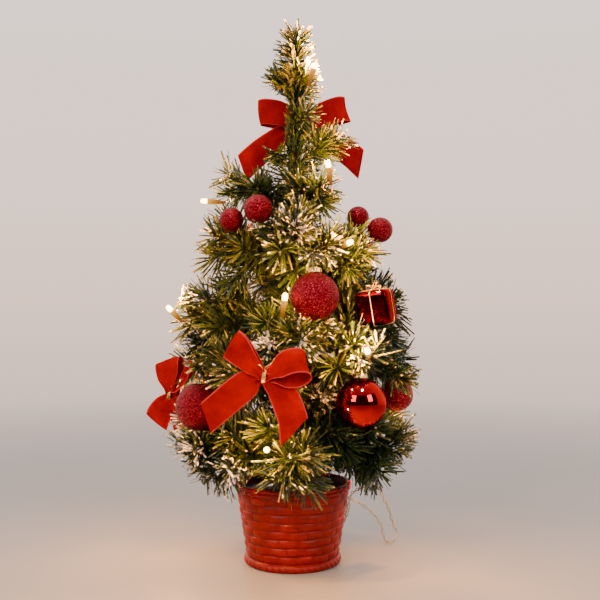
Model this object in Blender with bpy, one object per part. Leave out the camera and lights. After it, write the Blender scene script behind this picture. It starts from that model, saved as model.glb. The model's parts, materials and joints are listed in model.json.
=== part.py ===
"""Artificial tabletop tree: potted, bendable branches, ornaments and battery lights.

Metres, +Z up. The origin is the middle of the pot's underside. Azimuths are in
degrees counter-clockwise from +X, so the tree's front is at -90.
"""
import bpy
import bmesh
from math import cos, pi, radians, sin
from mathutils import Matrix, Vector

GAP = 0.0003  # between pieces that touch

# Pot, a basket-weave shell with a base flange and a roped rim
POT_BASE_R = 0.0385
POT_TOP_R = 0.0470
POT_HEIGHT = 0.0660
POT_WALL = 0.0024
POT_FLOOR = 0.0022
FLANGE_R = 0.0405
FLANGE_HEIGHT = 0.0062
RIM_R = 0.0488
RIM_HEIGHT = 0.0060
WEAVE_ROWS = 8
WEAVE_RELIEF = 0.0011
POT_SIDES = 40
FILL_TOP = 0.0600

# Stem
TRUNK_R = 0.0040
TRUNK_TOP = 0.3500
HINGE_R = 0.0060  # branch hinges stand this far off the stem's axis
ROOT_R = 0.0016  # radius of a branch's wire where it leaves the stem

# Branch: azimuth, root height, tip reach, tip height
BRANCHES = (
    (-92, 0.098, 0.092, 0.098),
    (-32, 0.098, 0.092, 0.100),
    (28, 0.098, 0.092, 0.099),
    (88, 0.098, 0.092, 0.098),
    (148, 0.098, 0.095, 0.100),
    (208, 0.098, 0.094, 0.098),
    (-118, 0.150, 0.088, 0.160),
    (-54, 0.150, 0.080, 0.180),
    (8, 0.150, 0.093, 0.166),
    (80, 0.150, 0.086, 0.164),
    (168, 0.150, 0.092, 0.162),
    (-85, 0.178, 0.086, 0.184),
    (-2, 0.200, 0.087, 0.207),
    (94, 0.200, 0.078, 0.210),
    (184, 0.200, 0.086, 0.200),
    (-88, 0.245, 0.060, 0.268),
    (-32, 0.245, 0.064, 0.254),
    (35, 0.245, 0.068, 0.256),
    (118, 0.245, 0.064, 0.262),
    (200, 0.245, 0.070, 0.268),
    (-60, 0.292, 0.044, 0.306),
    (80, 0.292, 0.042, 0.310),
    (188, 0.292, 0.053, 0.322),
    (-15, 0.332, 0.040, 0.354),
    (210, 0.332, 0.028, 0.348),
)
LOBE_SIDES = 16
LOBE_SPREAD = 0.30  # lobe radius gained for each metre along the branch
LOBE_MOST = 0.0115
LOBE_FLUTE = 0.78  # valley radius over ridge radius

LEADER_BOTTOM = 0.3506
LEADER_TOP = 0.4500
LEADER_LEAN = 0.0035
LEADER_R = 0.0130

# Round ornaments: name, centre, radius, carrying branch
BALLS = (
    ("ball-front", (0.0171, -0.0735, 0.2180), 0.0186, 12),
    ("ball-left", (-0.0728, -0.0470, 0.1325), 0.0186, 6),
    ("ball-right", (0.0853, -0.0120, 0.1390), 0.0140, 9),
)
GLOSS_CENTRE = (0.0520, -0.0695, 0.1375)
GLOSS_R = 0.0194
GLOSS_BRANCH = 8
GLOSS_LOOP = 0.0090  # hanging point above the ball's top
BERRIES = (
    ("berry-1", (-0.0267, -0.0480, 0.2872), 0.0114, 20),
    ("berry-2", (-0.0485, -0.0380, 0.2800), 0.0096, 20),
    ("berry-3", (0.0715, -0.0200, 0.2738), 0.0104, 17),
    ("berry-4", (0.0545, -0.0060, 0.2860), 0.0092, 17),
)
CAP_R = 0.0050
CAP_HEIGHT = 0.0045

GIFT_SIZE = (0.0260, 0.0240, 0.0270)
GIFT_CENTRE = (0.0655, -0.0470, 0.2100)
GIFT_TURN = -22
GIFT_BRANCH = 17
GIFT_LOOP = 0.0080

# Bulbs: name, tip, pointing direction, carrying branch (0 is the stem)
BULB_R = 0.0023
BULB_LENGTH = 0.0200
BULBS = (
    ("led-1", (0.0195, -0.0200, 0.4120), (0.35, -0.25, 0.90), 0),
    ("led-2", (0.0275, -0.0540, 0.3245), (-0.15, -0.35, 0.92), 21),
    ("led-3", (-0.0765, -0.0115, 0.2990), (-0.97, -0.18, 0.05), 23),
    ("led-4", (0.0455, -0.0680, 0.2600), (0.35, -0.90, 0.15), 17),
    ("led-5", (-0.0045, -0.0890, 0.2200), (0.15, -0.35, 0.92), 12),
    ("led-6", (-0.1005, -0.0330, 0.2114), (-0.50, -0.60, 0.62), 15),
    ("led-7", (0.0545, -0.0960, 0.1790), (-0.15, -0.90, 0.38), 8),
    ("led-8", (-0.0180, -0.1060, 0.1080), (-0.05, -0.98, 0.15), 1),
)

# Bow outlines in the ribbon's own plane, right and up from the knot
RIBBON = 0.0120  # depth of a bow across its loops
BOW_FRONT = (
    (0.0000, 0.0043), (-0.0069, 0.0103), (-0.0163, 0.0310), (-0.0292, 0.0155),
    (-0.0172, 0.0000), (-0.0447, -0.0198), (-0.0378, -0.0396), (-0.0052, -0.0077),
    (0.0034, -0.0172), (0.0138, -0.0456), (0.0284, -0.0318), (0.0224, -0.0077),
    (0.0318, 0.0017), (0.0327, 0.0155), (0.0241, 0.0206), (0.0103, 0.0129),
)
BOW_TOP = (
    (0.000, 0.004), (-0.014, 0.009), (-0.035, 0.017), (-0.036, 0.000),
    (-0.030, -0.010), (-0.050, -0.031), (-0.048, -0.050), (-0.006, -0.009),
    (0.006, -0.009), (0.050, -0.049), (0.053, -0.025), (0.030, -0.009),
    (0.043, -0.003), (0.038, 0.018), (0.014, 0.009),
)
BOW_LEFT = (
    (0.000, 0.004), (-0.012, 0.016), (-0.030, 0.026), (-0.034, 0.008),
    (-0.016, -0.002), (-0.030, -0.034), (-0.014, -0.040), (0.000, -0.008),
    (0.014, -0.036), (0.028, -0.026), (0.014, -0.002), (0.030, 0.008),
    (0.026, 0.024), (0.010, 0.014),
)
# Bow: name, outline, knot, facing azimuth, carrying branch (0 is the stem)
BOWS = (
    ("bow-front", BOW_FRONT, (-0.0195, -0.1108, 0.1602), -90, 7),
    ("bow-top", BOW_TOP, (0.0060, 0.0245, 0.3682), -90, 0),
    ("bow-left", BOW_LEFT, (-0.0985, -0.0060, 0.1400), 238, 11),
)

# Battery box behind the pot
BOX_CENTRE_Y = 0.0720
BOX_LENGTH = 0.0640
BOX_WIDTH = 0.0360
BOX_HEIGHT = 0.0190
BOX_WALL = 0.0018
BATTERY_R = 0.00715
BATTERY_LENGTH = 0.0500
COVER_HEIGHT = 0.0018
SWITCH_SLOT = (0.0090, 0.0030)
SWITCH_KNOB = (0.0040, 0.0023)
SWITCH_TRAVEL = 0.0040
SWITCH_Z = 0.0100
GLAND_R = 0.0032
GLAND_LENGTH = 0.0030

# Light string: wire radius, then hand-laid routes
WIRE_R = 0.0008
GLAND_FACE_X = BOX_LENGTH / 2 + GLAND_LENGTH + GAP
LEAD_A = (
    (GLAND_FACE_X, 0.0708, 0.0070), (0.0385, 0.0705, 0.0080),
    (0.0450, 0.0640, 0.0160), (0.0490, 0.0500, 0.0300), (0.0500, 0.0380, 0.0450),
    (0.0538, 0.0280, 0.0520), (0.0610, 0.0120, 0.0600), (0.0640, 0.0020, 0.0720),
    (0.0560, -0.0010, 0.0790), (0.0380, 0.0000, 0.0760), (0.0200, 0.0040, 0.0715),
    (0.0130, 0.0100, 0.0700),
)
LEAD_B = (
    (GLAND_FACE_X, 0.0732, 0.0070), (0.0400, 0.0735, 0.0075),
    (0.0460, 0.0660, 0.0170), (0.0472, 0.0484, 0.0350), (0.0470, 0.0370, 0.0440),
    (0.0550, 0.0395, 0.0405), (0.0628, 0.0440, 0.0351), (0.0722, 0.0500, 0.0262),
    (0.0790, 0.0560, 0.0160), (0.0812, 0.0590, 0.0070), (0.0830, 0.0560, 0.0018),
    (0.0870, 0.0530, 0.0010), (0.0915, 0.0570, 0.0020), (0.0940, 0.0620, 0.0080),
    (0.0900, 0.0580, 0.0167), (0.0834, 0.0450, 0.0357), (0.0720, 0.0220, 0.0590),
    (0.0680, 0.0080, 0.0740), (0.0600, 0.0030, 0.0830), (0.0400, 0.0040, 0.0800),
    (0.0220, 0.0070, 0.0735), (0.0140, 0.0125, 0.0722),
)
# In the tree the string climbs the stem: azimuth and height of each pass
STRING_R = 0.0010
STRING_OFF = 0.0130
STRING_CLIMB = (
    (96, 0.073), (110, 0.086), (118, 0.098), (126, 0.122), (120, 0.150),
    (128, 0.176), (139, 0.200), (152, 0.222), (159, 0.245), (146, 0.270),
    (134, 0.292), (110, 0.314), (97, 0.332), (92, 0.343),
)
WIRE_STEP = 0.0036


def clear_scene():
    for ob in list(bpy.data.objects):
        bpy.data.objects.remove(ob, do_unlink=True)


def material(name, colour, roughness, metallic=0.0, glow=0.0):
    mat = bpy.data.materials.new(name)
    mat.use_nodes = True
    shader = mat.node_tree.nodes["Principled BSDF"]
    shader.inputs["Base Color"].default_value = (*colour, 1.0)
    shader.inputs["Roughness"].default_value = roughness
    shader.inputs["Metallic"].default_value = metallic
    if glow:
        shader.inputs["Emission Color"].default_value = (*colour, 1.0)
        shader.inputs["Emission Strength"].default_value = glow
    return mat


def link(name, data, mat):
    ob = bpy.data.objects.new(name, data)
    bpy.context.scene.collection.objects.link(ob)
    data.materials.append(mat)
    return ob


def finish(name, bm, mat, smooth=True):
    """Turns a bmesh into a named object whose faces point outward."""
    bmesh.ops.recalc_face_normals(bm, faces=bm.faces)
    mesh = bpy.data.meshes.new(name)
    bm.to_mesh(mesh)
    bm.free()
    if smooth:
        mesh.shade_smooth()
        mesh.set_sharp_from_angle(angle=radians(40))
    return link(name, mesh, mat)


def lofted(name, rings, mat):
    """Skins rings of equal length into one body. An end ring of one point is a pole."""
    bm = bmesh.new()
    rows = [[bm.verts.new(p) for p in ring] for ring in rings]
    for low, high in zip(rows, rows[1:]):
        count = max(len(low), len(high))
        for k in range(count):
            a, b = low[k % len(low)], low[(k + 1) % len(low)]
            c, d = high[(k + 1) % len(high)], high[k % len(high)]
            corners = [a, b, c, d]
            bm.faces.new([v for n, v in enumerate(corners) if v not in corners[:n]])
    for row in (rows[0], rows[-1]):
        if len(row) > 2:
            bm.faces.new(row)
    return finish(name, bm, mat)


def circle(radius, z, sides):
    if radius == 0:
        return [Vector((0, 0, z))]
    turns = [2 * pi * k / sides for k in range(sides)]
    return [Vector((radius * cos(t), radius * sin(t), z)) for t in turns]


def turned(name, profile, mat, sides):
    """A body turned about Z from (radius, height) pairs, both ends on the axis."""
    return lofted(name, [circle(r, z, sides) for r, z in profile], mat)


def box(name, size, centre, mat):
    bm = bmesh.new()
    bmesh.ops.create_cube(bm, size=1.0)
    bmesh.ops.scale(bm, vec=size, verts=bm.verts)
    bmesh.ops.translate(bm, vec=centre, verts=bm.verts)
    return finish(name, bm, mat, smooth=False)


def bevelled(ob, width, segments=2):
    mod = ob.modifiers.new("bevel", "BEVEL")
    mod.width = width
    mod.segments = segments
    mod.limit_method = "ANGLE"
    return ob


def boolean(ob, other, operation):
    """Combines ob with a guide object, which is kept out of the model."""
    other.hide_render = True
    other.display_type = "WIRE"
    mod = ob.modifiers.new(operation.lower(), "BOOLEAN")
    mod.operation = operation
    mod.solver = "EXACT"
    mod.object = other


def smooth_route(route, step):
    """Points about a step apart on a Catmull-Rom curve through a route's points."""
    pts = [Vector(p) for p in route]
    pts = [2 * pts[0] - pts[1], *pts, 2 * pts[-1] - pts[-2]]
    fine = []
    for a, b, c, d in zip(pts, pts[1:], pts[2:], pts[3:]):
        count = 12
        for k in range(count):
            t = k / count
            fine.append(0.5 * ((2 * b) + (c - a) * t + (2 * a - 5 * b + 4 * c - d) * t**2
                               + (3 * b - a - 3 * c + d) * t**3))
    fine.append(pts[-2])
    length = sum((q - p).length for p, q in zip(fine, fine[1:]))
    count = max(2, round(length / step))
    out, along, target = [fine[0]], 0.0, length / count
    for p, q in zip(fine, fine[1:]):
        span = (q - p).length
        while along + span >= target * len(out) and len(out) < count:
            out.append(p.lerp(q, (target * len(out) - along) / span))
        along += span
    out.append(fine[-1])
    return out


def tube(name, points, radius, mat):
    """A wire as a poly spline with a round section and filled ends."""
    curve = bpy.data.curves.new(name, "CURVE")
    curve.dimensions = "3D"
    curve.bevel_depth = radius
    curve.bevel_resolution = 2
    curve.use_fill_caps = True
    spline = curve.splines.new("POLY")
    spline.points.add(len(points) - 1)
    for spot, p in zip(spline.points, points):
        spot.co = (*p, 1.0)
    return link(name, curve, mat)


def hinge(name, spot, azimuth=0.0):
    """An empty on a joint's axis."""
    empty = bpy.data.objects.new(name, None)
    empty.location = spot
    empty.rotation_euler = (0, 0, radians(azimuth))
    empty.empty_display_size = 0.01
    bpy.context.scene.collection.objects.link(empty)
    return empty


def carry(ob, empty):
    """Parents ob to an empty without moving it."""
    place = Matrix.Translation(empty.location) @ empty.rotation_euler.to_matrix().to_4x4()
    ob.parent = empty
    ob.matrix_parent_inverse = place.inverted()


def aimed(ob, spot, direction):
    """Stands a body that was turned about Z on spot, pointing along direction."""
    ob.rotation_mode = "QUATERNION"
    ob.rotation_quaternion = Vector((0, 0, 1)).rotation_difference(Vector(direction))
    ob.location = spot


def pot_profile():
    """The shell's section from the middle of its underside round to the middle inside."""
    body_low = FLANGE_HEIGHT
    body_high = POT_HEIGHT - RIM_HEIGHT
    profile = [(0, 0), (0.018, 0), (FLANGE_R - 0.0012, 0), (FLANGE_R, 0.0012),
               (FLANGE_R, FLANGE_HEIGHT - 0.0022), (FLANGE_R - 0.001, FLANGE_HEIGHT - 0.0008)]
    pitch = (body_high - body_low) / WEAVE_ROWS

    def body_radius(z):
        return POT_BASE_R + (POT_TOP_R - POT_BASE_R) * (z - body_low) / (body_high - body_low)

    for row in range(WEAVE_ROWS):
        low = body_low + row * pitch
        for share, out in ((0.0, 0.0), (0.3, 0.9), (0.7, 0.9)):
            z = low + share * pitch
            profile.append((body_radius(z) - WEAVE_RELIEF * (1 - out), z))
    profile += [(POT_TOP_R - 0.0004, body_high), (RIM_R - 0.0004, body_high + 0.0012),
                (RIM_R, body_high + 0.0032), (RIM_R - 0.0008, POT_HEIGHT - 0.0004),
                (RIM_R - 0.0022, POT_HEIGHT), (POT_TOP_R - POT_WALL, POT_HEIGHT - 0.0010)]
    profile += [(body_radius(body_high * 0.5) - POT_WALL - WEAVE_RELIEF, body_high * 0.5),
                (POT_BASE_R - POT_WALL - WEAVE_RELIEF, FLANGE_HEIGHT),
                (POT_BASE_R - POT_WALL - WEAVE_RELIEF - 0.002, POT_FLOOR), (0, POT_FLOOR)]
    return profile


def inside_radius(z):
    """Radius of the pot's inner wall at a height, between its straight stretches."""
    knots = sorted((h, r) for r, h in pot_profile()[-5:-1])
    for (z0, r0), (z1, r1) in zip(knots, knots[1:]):
        if z0 <= z <= z1:
            return r0 + (r1 - r0) * (z - z0) / (z1 - z0)
    return knots[0][1]


def make_pot(plastic, filler):
    turned("pot", pot_profile(), plastic, POT_SIDES)
    middle = (POT_HEIGHT - RIM_HEIGHT) * 0.5
    side = [(inside_radius(z) - GAP / cos(pi / POT_SIDES) - GAP, z)
            for z in (POT_FLOOR + GAP, FLANGE_HEIGHT, middle, FILL_TOP - 0.001)]
    socket = TRUNK_R + GAP
    profile = [(0, POT_FLOOR + GAP), *side, (side[-1][0] - 0.002, FILL_TOP),
               (0.022, FILL_TOP + 0.0015), (socket + 0.001, FILL_TOP + 0.002),
               (socket, FILL_TOP + 0.001), (socket, 0.012), (0, 0.012)]
    turned("pot-fill", profile, filler, POT_SIDES)


def make_trunk(mat):
    low = 0.012 + GAP
    profile = [(0, low), (TRUNK_R * 0.8, low), (TRUNK_R, low + 0.001),
               (TRUNK_R, TRUNK_TOP - 0.002), (TRUNK_R * 0.6, TRUNK_TOP), (0, TRUNK_TOP)]
    turned("trunk", profile, mat, 12)


def lobe_ring(centre, tangent, radius, twist, fluted=True):
    """One fluted section of a brush, square to a tangent in the XZ plane."""
    across = Vector((0, 1, 0))
    up = tangent.cross(across)
    ring = []
    for k in range(LOBE_SIDES):
        turn = 2 * pi * k / LOBE_SIDES + twist
        r = radius * (LOBE_FLUTE if fluted and k % 2 else 1.0)
        ring.append(centre + r * (cos(turn) * across + sin(turn) * up))
    return ring


def make_branch(number, azimuth, root_z, reach, tip_z, mat):
    """A tapered brush that starts as a round wire end on its hinge."""
    name = f"branch-{number:02d}"
    along = radians(azimuth)
    pivot = hinge(name + "-hinge", (HINGE_R * cos(along), HINGE_R * sin(along), root_z), azimuth)
    length = reach - HINGE_R
    rise = tip_z - root_z
    most = min(LOBE_MOST, LOBE_SPREAD * reach * 0.9)

    def centre(t):
        return Vector((length * t, 0, rise * t + 0.05 * length * t * (1 - t)))

    rings = [[Vector((-ROOT_R, 0, 0))]]
    rings.append(lobe_ring(Vector((-ROOT_R * 0.6, 0, 0)), Vector((1, 0, 0)), ROOT_R * 0.8, 0, False))
    stations = [0.02, 0.16, 0.36, 0.58, 0.78, 0.92, 1.0, 1.07]
    shares = [None, None, None, 1.0, 1.0, 0.90, 0.66, 0.26]
    for n, (t, share) in enumerate(zip(stations, shares)):
        radius = min(most, ROOT_R + LOBE_SPREAD * length * t)
        if share is not None:
            radius = min(radius, most * share)
        ahead = (centre(t + 0.01) - centre(t - 0.01)).normalized()
        rings.append(lobe_ring(centre(t), ahead, radius, 0.22 * n, n > 0))
    rings.append([centre(1.0 + 0.10)])
    ob = lofted(name, rings, mat)
    ob.parent = pivot
    return pivot


def make_leader(mat):
    """The upright brush at the top, leaning slightly to one side."""
    stations = (0.0, 0.06, 0.20, 0.45, 0.70, 0.88, 0.97)
    shares = (0.28, 0.75, 0.95, 1.0, 0.84, 0.62, 0.34)
    height = LEADER_TOP - LEADER_BOTTOM
    rings = []
    for n, (t, share) in enumerate(zip(stations, shares)):
        ring = []
        for k in range(LOBE_SIDES):
            turn = 2 * pi * k / LOBE_SIDES + 0.22 * n
            r = LEADER_R * share * (LOBE_FLUTE if k % 2 else 1.0)
            spot = (LEADER_LEAN * t + r * cos(turn), r * sin(turn), LEADER_BOTTOM + height * t)
            ring.append(Vector(spot))
        rings.append(ring)
    rings.append([Vector((LEADER_LEAN, 0, LEADER_TOP))])
    lofted("leader", rings, mat)


def sphere_profile(radius, bands, top_cut=0.0):
    """Half circle from the bottom pole up, cut level near the top if asked."""
    points = [(0, -radius)]
    for k in range(1, bands):
        turn = -pi / 2 + pi * k / bands
        points.append((radius * cos(turn), radius * sin(turn)))
    if top_cut:
        points = [p for p in points if p[1] < radius - top_cut - 0.0004]
        level = radius - top_cut
        rim = (radius**2 - level**2) ** 0.5
        points += [(rim, level), (0, level)]
    else:
        points.append((0, radius))
    return points


def make_cap(name, spot, mat):
    """The crimped metal cap on a ball, with its eye as a small rounded post."""
    profile = [(0, 0), (CAP_R, 0), (CAP_R, 0.0024), (CAP_R * 0.82, 0.0032), (0.0014, 0.0034),
               (0.0014, CAP_HEIGHT), (0.0009, CAP_HEIGHT + 0.0008), (0, CAP_HEIGHT + 0.0010)]
    ob = turned(name, profile, mat, 14)
    ob.location = spot
    return ob


def make_ball(name, centre, radius, mat, cap_mat, carrier):
    """A ball cut level under its cap, and the cap."""
    cut = radius - (radius**2 - (CAP_R * 0.8) ** 2) ** 0.5
    ball = turned(name, sphere_profile(radius, 11, cut), mat, 18)
    ball.location = centre
    carry(ball, carrier)
    if cap_mat:
        cap = make_cap(name.replace("ball", "cap"),
                       Vector(centre) + Vector((0, 0, radius - cut + GAP)), cap_mat)
        carry(cap, carrier)


def make_bow(name, outline, knot, facing, mat):
    """A tied ribbon bow as a thin slab of its outline, facing outward."""
    bm = bmesh.new()
    face = bm.faces.new([bm.verts.new((x, RIBBON / 2, z)) for x, z in outline])
    moved = bmesh.ops.extrude_face_region(bm, geom=[face])
    front = [v for v in moved["geom"] if isinstance(v, bmesh.types.BMVert)]
    bmesh.ops.translate(bm, vec=(0, -RIBBON, 0), verts=front)
    ob = finish(name, bm, mat, smooth=False)
    ob.location = knot
    ob.rotation_euler = (0, 0, radians(facing + 90))
    return ob


def make_bulb(name, tip, direction, mat):
    """A small dome-ended lamp in its tapered sleeve, turned with its wire end at the bottom."""
    neck = BULB_LENGTH - BULB_R
    sleeve = BULB_LENGTH * 0.52
    profile = [(0, 0), (BULB_R * 0.55, 0), (BULB_R * 0.72, 0.0012), (BULB_R * 0.95, sleeve * 0.6),
               (BULB_R, sleeve), (BULB_R * 0.84, sleeve + 0.0003), (BULB_R * 0.84, neck),
               (BULB_R * 0.62, neck + BULB_R * 0.72), (0, BULB_LENGTH)]
    ob = turned(name, profile, mat, 12)
    aim = Vector(direction).normalized()
    aimed(ob, Vector(tip) - aim * BULB_LENGTH, aim)
    return ob


def make_gift(mat, pivot):
    ob = box("gift-box", GIFT_SIZE, (0, 0, 0), mat)
    bevelled(ob, 0.0008, 1)
    ob.location = GIFT_CENTRE
    ob.rotation_euler = (radians(6), radians(-7), radians(GIFT_TURN))
    carry(ob, pivot)


def make_battery_box(shell, wrap, knob_mat):
    inner_x = BOX_LENGTH - 2 * BOX_WALL
    inner_y = BOX_WIDTH - 2 * BOX_WALL
    middle = Vector((0, BOX_CENTRE_Y, 0))
    body = box("battery-box", (BOX_LENGTH, BOX_WIDTH, BOX_HEIGHT),
               middle + Vector((0, 0, BOX_HEIGHT / 2)), shell)
    bevelled(body, 0.0008, 1)
    boss = turned("gland-guide", [(0, 0), (GLAND_R, 0), (GLAND_R * 0.85, GLAND_LENGTH + 0.001),
                                  (0, GLAND_LENGTH + 0.001)], shell, 12)
    boss.rotation_euler = (0, radians(90), 0)
    boss.location = middle + Vector((BOX_LENGTH / 2 - 0.001, 0, 0.0070))
    boolean(body, boss, "UNION")
    ledge = BOX_HEIGHT - COVER_HEIGHT - GAP
    hollow = box("hollow-guide", (inner_x, inner_y - 0.0016, BOX_HEIGHT),
                 middle + Vector((0, 0, BOX_WALL + BOX_HEIGHT / 2)), shell)
    boolean(body, hollow, "DIFFERENCE")
    recess_length = BOX_LENGTH - BOX_WALL + 0.01
    recess = box("recess-guide", (recess_length, inner_y, 0.01),
                 middle + Vector((-BOX_WALL / 2 - 0.005, 0, ledge + 0.005)), shell)
    boolean(body, recess, "DIFFERENCE")
    slot = box("slot-guide", (SWITCH_SLOT[0], 0.01, SWITCH_SLOT[1]),
               middle + Vector((0, BOX_WIDTH / 2, SWITCH_Z)), shell)
    boolean(body, slot, "DIFFERENCE")

    cover_length = BOX_LENGTH - BOX_WALL - GAP
    cover = box("battery-cover", (cover_length, inner_y - 2 * GAP, COVER_HEIGHT),
                middle + Vector((-BOX_WALL / 2 - GAP / 2, 0, BOX_HEIGHT - COVER_HEIGHT / 2)), shell)
    bevelled(cover, 0.0003, 1)

    knob_depth = 0.0042
    knob = box("battery-switch", (SWITCH_KNOB[0], knob_depth, SWITCH_KNOB[1]),
               middle + Vector((-SWITCH_TRAVEL / 2, BOX_WIDTH / 2 + 0.0012 - knob_depth / 2, SWITCH_Z)),
               knob_mat)
    bevelled(knob, 0.0003, 1)

    nub = 0.0011
    half = BATTERY_LENGTH / 2
    profile = [(0, -half), (BATTERY_R - 0.0006, -half), (BATTERY_R, -half + 0.0006),
               (BATTERY_R, half - nub - 0.0006), (BATTERY_R - 0.0006, half - nub),
               (0.0027, half - nub), (0.0027, half), (0, half)]
    for name, side, turn in (("battery-1", -1, 90), ("battery-2", 1, -90)):
        cell = turned(name, profile, wrap, 16)
        cell.rotation_euler = (0, radians(turn), 0)
        cell.location = middle + Vector((0, side * (BATTERY_R + GAP), BOX_WALL + GAP + BATTERY_R))


def make_lights(wire, glass, hinges):
    tube("lead-a", smooth_route(LEAD_A, WIRE_STEP), WIRE_R, wire)
    tube("lead-b", smooth_route(LEAD_B, WIRE_STEP), WIRE_R, wire)
    climb = [(STRING_OFF * cos(radians(a)), STRING_OFF * sin(radians(a)), z) for a, z in STRING_CLIMB]
    tube("light-string", smooth_route(climb, WIRE_STEP * 1.4), STRING_R, wire)
    for name, tip, direction, branch in BULBS:
        bulb = make_bulb(name, tip, direction, glass)
        if branch:
            carry(bulb, hinges[branch])


def main():
    clear_scene()
    plastic = material("pot-red", (0.33, 0.012, 0.006), 0.38)
    filler = material("pot-filler", (0.035, 0.030, 0.026), 0.85)
    stem = material("stem-wire", (0.045, 0.060, 0.028), 0.60)
    pine = material("pine-needles", (0.040, 0.085, 0.018), 0.55)
    glitter = material("glitter-red", (0.45, 0.010, 0.020), 0.35, 0.6)
    gloss = material("gloss-red", (0.62, 0.010, 0.012), 0.06, 0.9)
    cap = material("cap-gold", (0.85, 0.62, 0.25), 0.25, 1.0)
    foil = material("foil-red", (0.50, 0.010, 0.012), 0.15, 0.9)
    velvet = material("velvet-red", (0.55, 0.008, 0.006), 0.90)
    wire = material("lead-copper", (0.72, 0.52, 0.32), 0.30, 0.8)
    lamp = material("lamp-warm", (1.0, 0.70, 0.30), 0.20, glow=4.0)
    shell = material("box-dark", (0.020, 0.022, 0.021), 0.45)
    wrap = material("battery-wrap", (0.10, 0.10, 0.12), 0.35)
    knob = material("switch-black", (0.010, 0.010, 0.010), 0.40)

    make_pot(plastic, filler)
    make_trunk(stem)
    make_leader(pine)
    hinges = {n: make_branch(n, *spec, pine) for n, spec in enumerate(BRANCHES, 1)}
    for name, centre, radius, branch in BALLS:
        make_ball(name, centre, radius, glitter, None if name == "ball-right" else cap, hinges[branch])
    top = Vector(GLOSS_CENTRE) + Vector((0, 0, GLOSS_R + GLOSS_LOOP))
    swing = hinge("ball-gloss-hinge", top, BRANCHES[GLOSS_BRANCH - 1][0])
    make_ball("ball-gloss", GLOSS_CENTRE, GLOSS_R, gloss, cap, swing)
    for name, centre, radius, branch in BERRIES:
        berry = turned(name, sphere_profile(radius, 8), glitter, 12)
        berry.location = centre
        carry(berry, hinges[branch])
    top = Vector(GIFT_CENTRE) + Vector((0, 0, GIFT_SIZE[2] / 2 + GIFT_LOOP))
    make_gift(foil, hinge("gift-box-hinge", top, BRANCHES[GIFT_BRANCH - 1][0]))
    for name, outline, knot, facing, branch in BOWS:
        bow = make_bow(name, outline, knot, facing, velvet)
        if branch:
            carry(bow, hinges[branch])
    make_lights(wire, lamp, hinges)
    make_battery_box(shell, wrap, knob)


main()
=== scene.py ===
"""Artificial tabletop tree: its looks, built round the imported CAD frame."""

import json
from math import cos, pi, radians, sin

import bpy
import numpy as np
from mathutils import Euler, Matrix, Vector
from mathutils.kdtree import KDTree


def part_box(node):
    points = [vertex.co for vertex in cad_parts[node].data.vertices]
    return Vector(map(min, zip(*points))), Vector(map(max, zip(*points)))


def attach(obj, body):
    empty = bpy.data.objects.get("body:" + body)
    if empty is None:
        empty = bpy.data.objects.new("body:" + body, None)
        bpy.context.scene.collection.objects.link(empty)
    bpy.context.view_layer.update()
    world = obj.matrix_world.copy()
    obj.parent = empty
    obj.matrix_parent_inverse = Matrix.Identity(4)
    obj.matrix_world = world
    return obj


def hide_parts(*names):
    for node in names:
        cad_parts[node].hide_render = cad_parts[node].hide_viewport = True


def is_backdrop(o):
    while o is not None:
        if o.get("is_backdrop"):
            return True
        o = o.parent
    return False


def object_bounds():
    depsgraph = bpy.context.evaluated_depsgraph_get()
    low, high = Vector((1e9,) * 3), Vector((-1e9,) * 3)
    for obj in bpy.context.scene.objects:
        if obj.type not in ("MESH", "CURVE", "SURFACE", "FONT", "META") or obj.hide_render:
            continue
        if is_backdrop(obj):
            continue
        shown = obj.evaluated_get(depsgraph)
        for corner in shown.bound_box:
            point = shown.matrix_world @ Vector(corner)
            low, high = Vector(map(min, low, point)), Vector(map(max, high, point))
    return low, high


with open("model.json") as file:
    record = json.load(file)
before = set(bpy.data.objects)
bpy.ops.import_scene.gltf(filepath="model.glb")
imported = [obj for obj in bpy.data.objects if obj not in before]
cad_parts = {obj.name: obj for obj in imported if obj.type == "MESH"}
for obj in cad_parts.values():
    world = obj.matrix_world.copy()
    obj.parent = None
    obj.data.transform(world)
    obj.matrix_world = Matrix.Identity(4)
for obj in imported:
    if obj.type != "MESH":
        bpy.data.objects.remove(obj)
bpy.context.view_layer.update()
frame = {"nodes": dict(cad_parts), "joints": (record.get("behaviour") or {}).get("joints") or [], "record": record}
scene = bpy.context.scene
nodes = frame["nodes"]
joints = {j["child"]: j for j in frame["joints"]}
body_of_node = {n: b for b, names in frame["record"]["behaviour"]["bodies"].items() for n in names}
GOLDEN = pi * (3 - 5 ** 0.5)


# ------------------------------------------------------------------ camera
camera_data = bpy.data.cameras.new("camera")
camera_data.lens = 50.0
camera_data.sensor_width = 36.0
camera = bpy.data.objects.new("camera", camera_data)
camera.location = (0.006, -0.70, 0.20)
camera.rotation_euler = (radians(91.39), 0, 0)
scene.collection.objects.link(camera)
scene.camera = camera


# ------------------------------------------------------------------ shader helpers
def new_material(name):
    mat = bpy.data.materials.new(name)
    mat.use_nodes = True
    return mat, mat.node_tree, mat.node_tree.nodes["Principled BSDF"]


def put(tree, node, key, value):
    """Sets a socket to a constant, or links it."""
    if isinstance(value, bpy.types.NodeSocket):
        tree.links.new(value, node.inputs[key])
    else:
        node.inputs[key].default_value = value


def shader_node(tree, kind, inputs=None, **props):
    node = tree.nodes.new(kind)
    for key, value in props.items():
        setattr(node, key, value)
    for key, value in (inputs or {}).items():
        put(tree, node, key, value)
    return node


def place(tree):
    """Row-frame position."""
    return tree.nodes.new("ShaderNodeTexCoord").outputs["Object"]


def noise(tree, scale, detail=3.0, rough=0.55, distort=0.0):
    inputs = {"Vector": place(tree), "Scale": scale, "Detail": detail, "Roughness": rough,
              "Distortion": distort}
    return shader_node(tree, "ShaderNodeTexNoise", inputs).outputs[0]


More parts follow.
